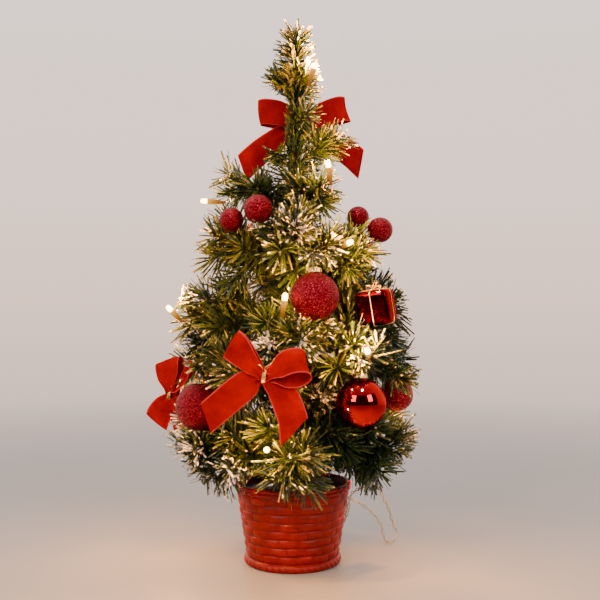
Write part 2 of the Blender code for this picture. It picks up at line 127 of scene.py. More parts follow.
def ramp(tree, value, stops):
    node = shader_node(tree, "ShaderNodeValToRGB", {"Fac": value})
    while len(node.color_ramp.elements) < len(stops):
        node.color_ramp.elements.new(0.5)
    for element, (spot, colour) in zip(node.color_ramp.elements, stops):
        element.position = spot
        element.color = (*colour, 1.0) if len(colour) == 3 else colour
    return node.outputs[0]


def span(tree, value, low, high, to_low=0.0, to_high=1.0):
    inputs = {"Value": value, "From Min": low, "From Max": high, "To Min": to_low, "To Max": to_high}
    return shader_node(tree, "ShaderNodeMapRange", inputs, clamp=True).outputs[0]


def calc(tree, operation, a, b=0.0, c=0.0):
    return shader_node(tree, "ShaderNodeMath", {0: a, 1: b, 2: c}, operation=operation).outputs[0]


def blend(tree, share, a, b):
    node = shader_node(tree, "ShaderNodeMix", data_type="RGBA")
    put(tree, node, 0, share)
    put(tree, node, 6, a if isinstance(a, bpy.types.NodeSocket) else (*a, 1.0))
    put(tree, node, 7, b if isinstance(b, bpy.types.NodeSocket) else (*b, 1.0))
    return node.outputs[2]


def bump(tree, shader, height, distance, strength=1.0):
    node = shader_node(tree, "ShaderNodeBump", {"Height": height, "Distance": distance, "Strength": strength})
    put(tree, shader, "Normal", node.outputs[0])


def stored(tree, name):
    return shader_node(tree, "ShaderNodeAttribute", attribute_name=name).outputs["Fac"]


# ------------------------------------------------------------------ materials
def pine_material():
    """Flat PVC needles with flock, and painted lamp glow as white, where the frost attribute is high."""
    mat, tree, shader = new_material("pine")
    drift = span(tree, noise(tree, 90, 2), 0.3, 0.7, -0.12, 0.12)
    tone = calc(tree, "ADD", stored(tree, "tone"), drift)
    green = ramp(tree, tone, [(0.0, (0.006, 0.014, 0.004)), (0.28, (0.014, 0.034, 0.006)),
                              (0.55, (0.036, 0.062, 0.009)), (0.78, (0.080, 0.092, 0.014)),
                              (1.0, (0.190, 0.160, 0.035))])
    grain = noise(tree, 950, 4, 0.65)
    # White mask: the needles' flock, and painted lamp glow near the lamps.
    flock_and_glow = span(tree, calc(tree, "ADD", grain, stored(tree, "frost")), 1.02, 1.16)
    put(tree, shader, "Base Color", blend(tree, flock_and_glow, green, (0.74, 0.72, 0.67)))
    put(tree, shader, "Roughness", span(tree, flock_and_glow, 0, 1, 0.30, 0.88))
    put(tree, shader, "Specular IOR Level", span(tree, flock_and_glow, 0, 1, 0.5, 0.15))
    bump(tree, shader, calc(tree, "MULTIPLY_ADD", flock_and_glow, 0.8, grain), 0.0006, 0.7)
    return mat


def stem_material():
    """Coated wire wrapped with chopped needle ends."""
    mat, tree, shader = new_material("stem")
    along = shader_node(tree, "ShaderNodeTexWave", {"Vector": place(tree), "Scale": 190.0, "Distortion": 2.5,
                                                    "Detail": 2.0}, bands_direction="DIAGONAL").outputs[1]
    colour = ramp(tree, along, [(0.2, (0.012, 0.022, 0.009)), (0.6, (0.035, 0.052, 0.018)),
                                (1.0, (0.080, 0.078, 0.030))])
    put(tree, shader, "Base Color", colour)
    put(tree, shader, "Roughness", 0.55)
    bump(tree, shader, along, 0.0006, 0.8)
    return mat


def velvet_material():
    mat, tree, shader = new_material("velvet")
    nap = noise(tree, 1500, 4, 0.7)
    brushed = noise(tree, 75, 2, 0.5)
    shade = calc(tree, "MULTIPLY_ADD", nap, 0.35, calc(tree, "MULTIPLY", brushed, 0.65))
    pile = ramp(tree, shade, [(0.32, (0.24, 0.0, 0.0)), (0.52, (0.40, 0.0, 0.0)), (0.72, (0.58, 0.0, 0.0))])
    # Lighter ribbon edges where lit is high: partly a woven selvage, partly painted sheen.
    edge = span(tree, stored(tree, "lit"), 0.88, 0.97)
    put(tree, shader, "Base Color", blend(tree, edge, pile, (0.72, 0.045, 0.035)))
    put(tree, shader, "Roughness", span(tree, nap, 0.3, 0.7, 0.70, 0.88))
    put(tree, shader, "Specular IOR Level", 0.02)
    bump(tree, shader, nap, 0.00022, 0.6)
    return mat


def thread_material():
    mat, tree, shader = new_material("gold-thread")
    twist = shader_node(tree, "ShaderNodeTexWave", {"Vector": place(tree), "Scale": 900.0, "Distortion": 3.0},
                        bands_direction="DIAGONAL").outputs[1]
    put(tree, shader, "Base Color", ramp(tree, twist, [(0.1, (0.42, 0.24, 0.05)), (0.7, (0.86, 0.62, 0.24))]))
    put(tree, shader, "Metallic", 0.85)
    put(tree, shader, "Roughness", 0.34)
    bump(tree, shader, twist, 0.00012, 0.6)
    return mat


def glitter_material(name, deep, middle, painted_glint):
    """Loose flakes: each cell has its own tilt and its own colour; the brightest cells take a painted glint
    colour.
    """
    mat, tree, shader = new_material(name)
    flakes = shader_node(tree, "ShaderNodeTexVoronoi", {"Vector": place(tree), "Scale": 1950})
    colour = flakes.outputs["Color"]
    parts = shader_node(tree, "ShaderNodeSeparateColor", {"Color": colour})
    stops = [(0.0, deep), (0.52, middle), (0.80, middle), (0.94, painted_glint)]
    put(tree, shader, "Base Color", ramp(tree, parts.outputs[0], stops))
    facing = tree.nodes.new("ShaderNodeNewGeometry").outputs["Normal"]
    tilt = colour
    for operation, inputs in (("SUBTRACT", {1: (0.5, 0.5, 0.5)}), ("SCALE", {"Scale": 1.15}),
                              ("ADD", {1: facing}), ("NORMALIZE", {})):
        tilt = shader_node(tree, "ShaderNodeVectorMath", {0: tilt, **inputs}, operation=operation).outputs[0]
    put(tree, shader, "Normal", tilt)
    put(tree, shader, "Metallic", 0.62)
    put(tree, shader, "Specular IOR Level", 0.12)
    put(tree, shader, "Roughness", span(tree, parts.outputs[1], 0, 1, 0.20, 0.50))
    return mat


def grained(name, grain, stops, rough, dent=None, inputs=None):
    """A finish over one noise: noise settings, colour stops, roughness or its two ends, bump settings."""
    mat, tree, shader = new_material(name)
    texture = noise(tree, *grain)
    put(tree, shader, "Base Color", ramp(tree, texture, stops))
    if isinstance(rough, tuple):
        rough = span(tree, texture, 0.3, 0.7, *rough)
    put(tree, shader, "Roughness", rough)
    for key, value in (inputs or {}).items():
        put(tree, shader, key, value)
    if dent:
        bump(tree, shader, texture, *dent)
    return mat


def plastic(name, dark, light, rough, grain=700.0):
    ends = (rough - 0.06, rough + 0.06)
    return grained(name, (grain, 4, 0.6), [(0.3, dark), (0.7, light)], ends, (0.00012, 0.5))


def gloss_material():
    stops = [(0.35, (0.42, 0.0, 0.0)), (0.65, (0.50, 0.0, 0.001))]
    mat = grained("gloss-red", (45,), stops, (0.035, 0.07), None,
                  {"Metallic": 1.0, "Specular Tint": (1.0, 0.10, 0.10, 1.0), "Coat Weight": 0.14,
                   "Coat Roughness": 0.03})
    tree = mat.node_tree
    bump(tree, tree.nodes["Principled BSDF"], noise(tree, 60, 2), 0.00015, 0.25)
    return mat


def pot_material():
    mat, tree, shader = new_material("pot-red")
    blotch = noise(tree, 55, 4, 0.6)
    fine = noise(tree, 900, 3, 0.6)
    paint = ramp(tree, blotch, [(0.30, (0.165, 0.001, 0.0)), (0.70, (0.215, 0.002, 0.0))])
    # Painted shade: the weave's grooves, where proud is low, are darkened.
    painted_groove_shade = blend(tree, 0.35, paint, (0.06, 0.0, 0.0))
    put(tree, shader, "Base Color", blend(tree, stored(tree, "proud"), painted_groove_shade, paint))
    put(tree, shader, "Roughness", span(tree, fine, 0.3, 0.7, 0.34, 0.48))
    put(tree, shader, "Specular IOR Level", 0.20)
    bump(tree, shader, calc(tree, "MULTIPLY_ADD", fine, 0.35, blotch), 0.0003, 0.35)
    return mat


def lens_material():
    mat = grained("lamp-lens", (500, 2), [(0.3, (1.0, 0.80, 0.50)), (0.7, (1.0, 0.90, 0.68))], 0.12, None,
                  {"Emission Strength": 18.0})
    tree = mat.node_tree
    core_glow = ramp(tree, noise(tree, 500, 2), [(0.3, (1.0, 0.62, 0.20)), (0.7, (1.0, 0.72, 0.30))])
    put(tree, tree.nodes["Principled BSDF"], "Emission Color", core_glow)
    return mat


def sleeve_material():
    """Amber sleeving, lit from inside near the lens."""
    mat, tree, shader = new_material("lamp-sleeve")
    cloud = noise(tree, 380, 3)
    lit = stored(tree, "lit")
    amber = ramp(tree, cloud, [(0.3, (0.17, 0.052, 0.002)), (0.7, (0.28, 0.10, 0.006))])
    put(tree, shader, "Base Color", amber)
    put(tree, shader, "Roughness", 0.22)
    glow = ramp(tree, lit, [(0.0, (1.0, 0.30, 0.004)), (1.0, (1.0, 0.52, 0.05))])
    put(tree, shader, "Emission Color", glow)
    put(tree, shader, "Emission Strength", span(tree, calc(tree, "POWER", lit, 2.0), 0, 1, 0.05, 1.1))
    return mat


PINE = pine_material()
FLOCK = grained("flock", (1300, 5, 0.7),
                [(0.30, (0.40, 0.38, 0.33)), (0.50, (0.74, 0.72, 0.68)), (0.70, (0.88, 0.87, 0.85))],
                0.9, (0.0009, 0.9), {"Specular IOR Level": 0.15})
STEM = stem_material()
VELVET = velvet_material()
THREAD = thread_material()
# Glitter colours: deep, middle, and the painted glint of the brightest flakes.
GLITTER = glitter_material("glitter-red", (0.090, 0.000, 0.003), (0.25, 0.002, 0.009), (0.78, 0.050, 0.070))
GLITTER_WIDE = glitter_material("glitter-crimson", (0.095, 0.000, 0.004), (0.27, 0.003, 0.011),
                                (0.82, 0.060, 0.085))
GLOSS = gloss_material()
FOIL = grained("gift-foil", (110, 3, 0.5, 1.5), [(0.3, (0.085, 0.0, 0.0)), (0.7, (0.17, 0.0, 0.001))],
               (0.06, 0.14), (0.0009, 0.22), {"Metallic": 1.0, "Specular Tint": (1.0, 0.25, 0.25, 1.0)})
CAP = grained("cap-gold", (420,), [(0.3, (0.52, 0.36, 0.13)), (0.7, (0.83, 0.64, 0.30))], (0.18, 0.36),
              (0.0001, 0.5), {"Metallic": 1.0})
POT = pot_material()
FILLER = grained("filler", (160, 5, 0.65), [(0.30, (0.010, 0.009, 0.008)), (0.60, (0.045, 0.036, 0.028)),
                                            (0.80, (0.095, 0.078, 0.062))], (0.32, 0.65), (0.0012, 0.6))
# Enamelled copper in clear sleeving
WIRE = grained("wire-copper", (260,), [(0.3, (0.42, 0.33, 0.17)), (0.7, (0.68, 0.57, 0.34))], (0.16, 0.30),
               (0.0001, 0.3), {"Metallic": 0.35, "Coat Weight": 0.6})
LENS = lens_material()
SLEEVE = sleeve_material()
BOX = plastic("box-dark", (0.012, 0.014, 0.013), (0.026, 0.028, 0.027), 0.45)
KNOB = plastic("switch-black", (0.006, 0.006, 0.006), (0.016, 0.016, 0.016), 0.38)
WRAP = plastic("battery-wrap", (0.030, 0.034, 0.050), (0.060, 0.066, 0.085), 0.30, 240.0)
STALK = plastic("berry-stalk", (0.20, 0.006, 0.008), (0.34, 0.012, 0.012), 0.45)


# ------------------------------------------------------------------ mesh helpers
class Build:
    """Collects verts, faces, material numbers and per-vertex attributes of one piece."""

    def __init__(self):
        self.verts, self.faces, self.mats, self.count = [], [], [], 0
        self.attributes = {}

    def add(self, verts, faces, mat=0, **attributes):
        verts = np.asarray(verts, float).reshape(-1, 3)
        self.verts.append(verts)
        for face in faces:
            self.faces.append(tuple(int(i) + self.count for i in face))
        self.mats += [mat] * len(faces)
        for name in set(self.attributes) | set(attributes):
            known = self.attributes.setdefault(name, [np.zeros(self.count)])
            value = attributes.get(name, 0.0)
            known.append(np.broadcast_to(np.asarray(value, float), (len(verts),)))
        self.count += len(verts)

    def make(self, name, materials, sharp=None):
        mesh = bpy.data.meshes.new(name)
        mesh.from_pydata(np.concatenate(self.verts).tolist(), [], self.faces)
        for mat in materials:
            mesh.materials.append(mat)
        mesh.polygons.foreach_set("material_index", self.mats)
        for key, parts in self.attributes.items():
            held = mesh.attributes.new(key, "FLOAT", "POINT")
            held.data.foreach_set("value", np.concatenate(parts).astype(np.float32))
        mesh.shade_smooth()
        if sharp is not None:
            mesh.set_sharp_from_angle(angle=radians(sharp))
        mesh.update()
        ob = bpy.data.objects.new(name, mesh)
        scene.collection.objects.link(ob)
        return ob


def single(name, material, shape, sharp=None):
    """A piece made of one shape, given as verts and faces."""
    build = Build()
    build.add(*shape)
    return build.make(name, [material], sharp)


def fit(piece, body, node=None):
    """Says what a piece rides on and which CAD node it stands for; that node is hidden."""
    if node in nodes:
        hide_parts(node)
    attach(piece, body)
    return piece


def applied(ob, kind, **settings):
    """Makes one modifier's result the piece's own mesh."""
    modifier = ob.modifiers.new(kind.lower(), kind)
    for key, value in settings.items():
        setattr(modifier, key, value)
    bpy.context.view_layer.update()
    mesh = bpy.data.meshes.new_from_object(ob.evaluated_get(bpy.context.evaluated_depsgraph_get()))
    ob.modifiers.clear()
    ob.data = mesh


def travelled(points):
    """Distance along a line at each of its points."""
    return np.concatenate([[0], np.cumsum(np.linalg.norm(np.diff(points, axis=0), axis=1))])


def at_shares(share, along, columns):
    """Rows read off a table at given shares of its length."""
    return np.stack([np.interp(share, along, columns[:, k]) for k in range(columns.shape[1])], axis=1)


def unit(v):
    v = np.asarray(v, float)
    return v / np.maximum(np.linalg.norm(v, axis=-1, keepdims=True), 1e-12)


def smooth_route(route, step):
    """Points about a step apart on a Catmull-Rom curve through a route's points."""
    p = np.asarray(route, float)
    p = np.vstack([2 * p[0] - p[1], p, 2 * p[-1] - p[-2]])
    t = (np.arange(16) / 16)[:, None]
    fine = []
    for a, b, c, d in zip(p, p[1:], p[2:], p[3:]):
        fine.append(0.5 * (2 * b + (c - a) * t + (2 * a - 5 * b + 4 * c - d) * t**2
                           + (3 * b - a - 3 * c + d) * t**3))
    fine = np.vstack([*fine, p[-2]])
    return evenly(fine, step)


def evenly(points, step):
    along = travelled(points)
    count = max(3, int(round(along[-1] / step)) + 1)
    return at_shares(np.linspace(0, along[-1], count), along, points)


def route_length(points):
    return float(np.linalg.norm(np.diff(points[:, :3], axis=0), axis=1).sum())


def carried_frames(points):
    """Unit tangents and two normals that don't spin along a line."""
    tangent = unit(np.gradient(points, axis=0))
    first = np.array([0, 0, 1.0]) if abs(tangent[0][2]) < 0.9 else np.array([1.0, 0, 0])
    normal = unit(np.cross(tangent[0], first))
    normals = []
    for t in tangent:
        normal = unit(normal - t * float(normal @ t))
        normals.append(normal)
    normals = np.array(normals)
    return tangent, normals, np.cross(tangent, normals)


def grid_faces(rows, columns, wrap=True):
    """Quads over rows of points; each row closes on itself if wrap."""
    faces = []
    for r in range(rows - 1):
        for c in range(columns if wrap else columns - 1):
            d = (c + 1) % columns
            faces.append((r * columns + c, r * columns + d, (r + 1) * columns + d, (r + 1) * columns + c))
    return faces


def sweep(points, radius, sides=8):
    """A closed round tube along points. The radius is one number or one for each point."""
    points = np.asarray(points, float)
    _, u, v = carried_frames(points)
    turn = np.linspace(0, 2 * pi, sides, endpoint=False)
    radius = np.broadcast_to(np.asarray(radius, float), (len(points),))
    ring = np.cos(turn)[None, :, None] * u[:, None] + np.sin(turn)[None, :, None] * v[:, None]
    verts = (points[:, None] + ring * radius[:, None, None]).reshape(-1, 3)
    faces = grid_faces(len(points), sides)
    faces.append(tuple(range(sides))[::-1])
    faces.append(tuple(range((len(points) - 1) * sides, len(points) * sides)))
    return verts, faces


def twisted(build, points, strand, offset, pitch, mat=0, sides=6, phase=0.0, strands=2):
    """Strands that turn round each other along a line."""
    points = np.asarray(points, float)
    _, u, v = carried_frames(points)
    along = travelled(points)
    for k in range(strands):
        turn = (2 * pi * along / pitch + phase + 2 * pi * k / strands)[:, None]
        verts, faces = sweep(points + offset * (np.cos(turn) * u + np.sin(turn) * v), strand, sides)
        build.add(verts, faces, mat)


def turned(profile, sides, centre=(0, 0, 0), aim=(0, 0, 1)):
    """A body of (radius, height) pairs about an axis; ends on the axis are poles."""
    rot = np.array(Vector((0, 0, 1)).rotation_difference(Vector(aim)).to_matrix())
    turn = np.linspace(0, 2 * pi, sides, endpoint=False)
    verts, rings = [], []
    for r, z in profile:
        if r == 0:
            rings.append([len(verts)])
            verts.append((0, 0, z))
        else:
            rings.append(list(range(len(verts), len(verts) + sides)))
            verts += [(r * cos(t), r * sin(t), z) for t in turn]
    faces = []
    for low, high in zip(rings, rings[1:]):
        for k in range(sides):
            a, b = low[k % len(low)], low[(k + 1) % len(low)]
            c, d = high[(k + 1) % len(high)], high[k % len(high)]
            corners = [a, b, c, d]
            faces.append([v for n, v in enumerate(corners) if v not in corners[:n]])
    return np.array(verts) @ rot.T + np.asarray(centre, float), faces


def ring_grid(radius_rows, height_rows, turn):
    """A closed body from rows of radii round the Z axis, with a pole at each end."""
    rows = len(radius_rows)
    verts = [np.stack([r * np.cos(turn), r * np.sin(turn), np.broadcast_to(z, turn.shape)], axis=1)
             for r, z in zip(radius_rows, height_rows)]
    count = len(turn)
    poles = [[0, 0, float(np.mean(height_rows[end]))] for end in (0, -1)]
    verts = np.concatenate([*verts, poles])
    faces = grid_faces(rows, count)
    low, high, last = rows * count, rows * count + 1, (rows - 1) * count
    faces += [(low, (k + 1) % count, k) for k in range(count)]
    faces += [(high, last + k, last + (k + 1) % count) for k in range(count)]
    return verts, faces


def centre_and_radius(node):
    """A ball's middle and radius from its CAD solid, whose top may be cut under its cap."""
    low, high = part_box(node)
    co = np.array([v.co for v in nodes[node].data.vertices])
    radius = max(high.x - low.x, high.y - low.y) / 2
    middle = (low + high) / 2
    return np.array([middle.x, middle.y, float(co[:, 2].min()) + radius]), radius


def far_vertex(node, aim):
    co = np.array([v.co for v in nodes[node].data.vertices])
    return co[np.argmax(co @ np.asarray(aim, float))]


# ------------------------------------------------------------------ cords: two leads to the battery box
GLAND_FACE_X = float(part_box("battery-box")[1].x) + 0.0003
LEAD_A = (
    (GLAND_FACE_X, 0.0708, 0.0070), (0.0385, 0.0705, 0.0080), (0.0450, 0.0640, 0.0160),
    (0.0490, 0.0500, 0.0300), (0.0500, 0.0380, 0.0450), (0.0538, 0.0280, 0.0520),
    (0.0610, 0.0120, 0.0600), (0.0640, 0.0020, 0.0720), (0.0560, -0.0010, 0.0790),
    (0.0380, 0.0000, 0.0760), (0.0200, 0.0040, 0.0715), (0.0130, 0.0100, 0.0700),
)
LEAD_B = (
    (GLAND_FACE_X, 0.0732, 0.0070), (0.0400, 0.0735, 0.0075), (0.0460, 0.0660, 0.0170),
    (0.0472, 0.0484, 0.0350), (0.0470, 0.0370, 0.0440), (0.0550, 0.0395, 0.0405),
    (0.0628, 0.0440, 0.0351), (0.0722, 0.0500, 0.0262), (0.0790, 0.0560, 0.0160),
    (0.0812, 0.0590, 0.0070), (0.0830, 0.0560, 0.0018), (0.0870, 0.0530, 0.0010),
    (0.0915, 0.0570, 0.0020), (0.0940, 0.0620, 0.0080), (0.0900, 0.0580, 0.0167),
    (0.0834, 0.0450, 0.0357), (0.0720, 0.0220, 0.0590), (0.0680, 0.0080, 0.0740),
    (0.0600, 0.0030, 0.0830), (0.0400, 0.0040, 0.0800), (0.0220, 0.0070, 0.0735),
    (0.0140, 0.0125, 0.0722),
)
STRAND = 0.00045
SPREAD = 0.00100  # how far each strand stands off a lead's middle
LEAD_PITCH = 0.0230
for name, route, phase in (("lead-a", LEAD_A, 0.0), ("lead-b", LEAD_B, 1.1)):
    line = smooth_route(route, 0.0008)
    build = Build()
    twisted(build, line, STRAND, SPREAD, LEAD_PITCH, sides=8, phase=phase)
    lead = fit(build.make(name + "-twist", [WIRE]), "tree", name)


# ------------------------------------------------------------------ light string up the stem
STRING_OFF = 0.0130
STRING_PITCH = 0.0120
STRING_CLIMB = (
    (96, 0.073), (110, 0.086), (118, 0.098), (126, 0.122), (120, 0.150), (128, 0.176), (139, 0.200),
    (152, 0.222), (159, 0.245), (146, 0.270), (134, 0.292), (110, 0.314), (97, 0.332), (92, 0.343),
)
climb = [(STRING_OFF * cos(radians(a)), STRING_OFF * sin(radians(a)), z) for a, z in STRING_CLIMB]
build = Build()
twisted(build, smooth_route(climb, 0.0009), STRAND, 0.00060, STRING_PITCH, sides=6, strands=3)
fit(build.make("light-string-twist", [WIRE]), "tree", "light-string")


# ------------------------------------------------------------------ ribbon bows
RIBBON_WIDTH = 0.022
ACROSS = 13


def ribbon_bow(name, body, knot, facing, controls, cuts, rests_on):
    """One ribbon through stations: right, up and out in mm, width direction, width share, pleat."""
    ahead = np.array([cos(radians(facing)), sin(radians(facing)), 0.0])
    right = np.array([-ahead[1], ahead[0], 0.0])
    basis = np.array([right, [0, 0, 1.0], ahead])
    table = np.array(controls, float)
    table[:, :3] *= 0.001
    table[:, 3:6] = unit(table[:, 3:6])
    weights = np.array([1, 1, 1, 0.02, 0.02, 0.02, 0.01, 0.01])  # how much each column counts as length
    fine = smooth_route(table * weights, 0.0011) / weights
    line = fine[:, :3]
    tangent = unit(np.gradient(line, axis=0))
    wide = fine[:, 3:6]
    wide = unit(wide - tangent * (wide * tangent).sum(1, keepdims=True))
    out = np.cross(tangent, wide)
    share, pleat = np.clip(fine[:, 6], 0.2, 1.0), np.clip(fine[:, 7], 0, 1)
    along = travelled(line)
    u = np.linspace(-0.5, 0.5, ACROSS)
    cut = (np.exp(-along / 0.006) * cuts[0] - np.exp(-(along[-1] - along) / 0.006) * cuts[1])[:, None]
    spot = (line[:, None] + (u[None] * share[:, None])[..., None] * RIBBON_WIDTH * wide[:, None]
            + (np.cos(u * 2 * pi * 2.5)[None] * pleat[:, None])[..., None] * 0.0013 * out[:, None]
            + (np.cos(u * pi)[None] - 0.6)[..., None] * 0.0010 * out[:, None]
            + (cut * u[None] * RIBBON_WIDTH)[..., None] * tangent[:, None])
    flat = spot.reshape(-1, 3)
    build = Build()
    # The lit attribute is 0 along the ribbon's middle and 1 at its edges, for the painted sheen.
    build.add(flat @ basis + np.asarray(knot), grid_faces(len(line), ACROSS, wrap=False),
              lit=np.tile(np.abs(u) * 2, len(line)))
    ob = build.make(name + "-ribbon", [VELVET])
    applied(ob, "SOLIDIFY", thickness=0.0004, offset=0.0)
    fit(ob, body, name)
    tie = Build()
    for k in range(4):
        turn = np.linspace(0, 2 * pi, 25)
        tilt = 0.25 * (k - 1.5)
        loop = np.stack([0.0007 * (k - 1.5) + 0.0004 * np.sin(2 * turn), 0.0043 * np.cos(turn),
                         0.0046 * np.sin(turn) + tilt * 0.002 * np.cos(turn)], axis=1)
        verts, faces = sweep(loop @ basis + np.asarray(knot), 0.00032, 6)
        tie.add(verts, faces)
    for side in (-1, 1):
        end = np.array([[0, 0.0040, 0.0020], [0.002 * side, 0.0075, 0.0035], [0.0055 * side, 0.0095, 0.0020],
                        [0.0075 * side, 0.0130, 0.0030]])
        verts, faces = sweep(smooth_route(end, 0.0008) @ basis + np.asarray(knot), 0.00028, 6)
        tie.add(verts, faces)
    thread = tie.make(name + "-tie", [THREAD])
    thread.parent = ob
    thread.matrix_parent_inverse = ob.matrix_world.inverted()
    return flat @ basis + np.asarray(knot), basis


# Stations: right, up, out, width direction, width share, pleat
KNOT_BACK = (0, 0, -3, 0.1, 1, 0, 0.34, 1)
KNOT_MID = (0, 0.3, -0.5, 0.2, 1, 0, 0.32, 1)
KNOT_FRONT = (0, 0, 1.8, 0.5, 0.85, 0, 0.34, 1)


def loop_round(outward, toward, wide, stations):
    """Stations of a loop, given as (out along the loop, toward the eye, width share, pleat)."""
    e1, e2 = np.asarray(outward, float), np.asarray(toward, float)
    return tuple((*(e1 * a + e2 * b), *wide, share, pleat) for a, b, share, pleat in stations)


FRONT_STATIONS = (
    (-41, -29.5, -1, -0.69, 0.73, 0.05, 0.97, 0), (-31, -21, 2, -0.69, 0.73, 0.1, 0.97, 0),
    (-20, -11.5, 2.5, -0.67, 0.74, 0.05, 0.97, 0), (-11, -4.5, 1.5, -0.55, 0.83, 0.05, 0.9, 0.15),
    (-5, -1, 0, -0.3, 0.95, 0, 0.55, 0.8),
    KNOT_BACK,
    *loop_round((0.966, 0.26, 0), (-0.166, 0.618, 0.772), (-0.2, 0.745, -0.64), (
        (6, -2.2, 0.52, 0.7), (13, -5.5, 0.9, 0.2), (22, -8, 1, 0), (29.5, -5, 1, 0), (32, 0.5, 1, 0),
        (29, 6.5, 1, 0), (21, 9, 1, 0), (13, 6.5, 0.9, 0.15), (6, 2.8, 0.55, 0.7))),
    KNOT_MID,
    (-5, 6, -2.5, 0.55, 0.82, 0.1, 0.5, 0.6), (-12, 13, -4.5, 0.52, 0.84, 0.12, 0.78, 0.2),
    (-20, 21, -3.5, 0.5, 0.86, 0.05, 0.97, 0), (-23.3, 23.6, 0.5, 0.5, 0.86, 0, 0.97, 0),
    (-20, 20.5, 4.5, 0.51, 0.86, -0.05, 0.97, 0), (-12, 12, 5, 0.56, 0.83, -0.2, 0.72, 0.15),
    (-5, 5, 3, 0.6, 0.78, -0.2, 0.46, 0.7),
    KNOT_FRONT,
    (5, -4, 0, 0.9, 0.42, -0.15, 0.58, 0.6), (10.5, -8.5, -1, 0.98, 0.18, -0.2, 0.86, 0.2),
    (15, -15, 0.5, 0.97, 0.2, -0.25, 0.97, 0), (18, -22, 2, 0.96, 0.22, -0.3, 1, 0),
    (20.5, -30, 2, 0.95, 0.15, -0.3, 1, 0), (21.5, -39, 0, 0.94, 0.05, -0.3, 1, 0),
)
TOP_STATIONS = (
    (-50.5, -35.5, -1, -0.6, 0.8, 0.05, 1, 0), (-41, -27, 1.5, -0.62, 0.78, 0.08, 1, 0),
    (-29, -17, 2, -0.62, 0.78, 0, 0.97, 0), (-14, -6, 0, -0.45, 0.88, 0, 0.8, 0.4),
    KNOT_BACK,
    (8, 3.5, -4, -0.2, 0.97, 0, 0.62, 0.5), (20, 9, -6, -0.24, 0.96, 0, 0.96, 0.1),
    (34, 14.5, -5, -0.26, 0.96, 0, 1, 0), (41, 15.8, 0, -0.26, 0.96, 0, 1, 0),
    (34, 15, 5.5, -0.26, 0.96, 0, 1, 0), (20, 9.5, 6.5, -0.26, 0.96, 0, 0.97, 0.1),
    (9, 4, 4, -0.1, 0.98, 0, 0.64, 0.5),
    KNOT_MID,
    (-8, 4, -3.5, -0.02, 1, 0, 0.66, 0.5), (-20, 10.5, -6, -0.06, 0.99, 0, 0.98, 0.1),
    (-32, 12.5, -3.5, -0.1, 0.99, 0, 1, 0), (-36, 12.5, 1, -0.1, 0.99, 0, 1, 0),
    (-31, 13, 6, -0.1, 0.99, 0, 1, 0), (-18, 11, 7, -0.05, 0.99, 0, 0.98, 0.05),
    (-7, 5.5, 4.5, 0.15, 0.98, 0, 0.7, 0.5), (0, 0, 1.8, 0.4, 0.9, 0, 0.36, 1),
    (11, -4.5, 0, 0.55, 0.83, 0, 0.74, 0.5), (23, -10.5, 1.5, 0.5, 0.86, 0.05, 0.97, 0.05),
    (35, -17.5, 2, 0.56, 0.83, 0, 1, 0), (45, -24.5, 1, 0.6, 0.8, 0, 1, 0),
    (53.5, -31.9, -1, 0.64, 0.77, 0, 1, 0),
)
LEFT_STATIONS = (
    (-15.5, -24, -2, -0.42, 0.8, 0.42, 0.95, 0), (-10.5, -16, 1, -0.5, 0.76, 0.4, 0.95, 0),
    (-5, -8, 1, -0.55, 0.76, 0.3, 0.8, 0.3),
    KNOT_BACK,
    (4, 6, -4.5, 0.3, -0.2, 0.93, 0.58, 0.5), (9, 13, -5, 0.34, -0.24, 0.9, 0.9, 0.1),
    (14, 20, -3, 0.36, -0.26, 0.9, 0.95, 0), (16.5, 20, 0.5, 0.36, -0.26, 0.9, 0.95, 0),
    (14, 13, 2.5, 0.34, -0.24, 0.9, 0.9, 0), (7, 5, 2, 0.45, 0.1, 0.88, 0.58, 0.6),
    KNOT_MID,
    (-1, 9, -3.5, 0.94, 0.2, 0.1, 0.58, 0.5), (-1.5, 19, -5, 0.95, 0.28, 0.05, 0.95, 0.1),
    (-1.5, 27, -2.5, 0.95, 0.3, 0, 1, 0), (-1.5, 29, 2, 0.95, 0.3, 0, 1, 0),
    (-1.5, 25, 6, 0.95, 0.28, 0, 1, 0), (-1.5, 14, 5.5, 0.95, 0.2, 0, 0.8, 0.2),
    (-0.5, 6, 3.5, 0.96, 0.05, 0, 0.5, 0.7),
    KNOT_FRONT,
    (3.5, -9, -2, 0.92, 0.3, -0.1, 0.75, 0.3), (7.5, -18, -4, 0.9, 0.36, -0.15, 0.95, 0),
    (10, -27, -5.5, 0.9, 0.36, -0.15, 0.95, 0),
)


def middle_of(node):
    low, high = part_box(node)
    return np.array((low + high) / 2)


front_knot = np.array([-0.0195, middle_of("bow-front")[1], 0.1602])
top_knot = np.array([0.0060, middle_of("bow-top")[1], 0.3682])
left_knot = np.array([-0.1005, -0.0080, 0.1385])
bow_clouds = []
for spec in (("bow-front", "branch-07", front_knot, -90, FRONT_STATIONS, (0.42, 0.80), ["branch-07"]),
             ("bow-top", "tree", top_knot, -90, TOP_STATIONS, (0.43, 0.61), ["leader"]),
             ("bow-left", "branch-11", left_knot, 250, LEFT_STATIONS, (0.30, 0.30), ["branch-11"])):
    bow_clouds.append((spec[0], *ribbon_bow(*spec)))


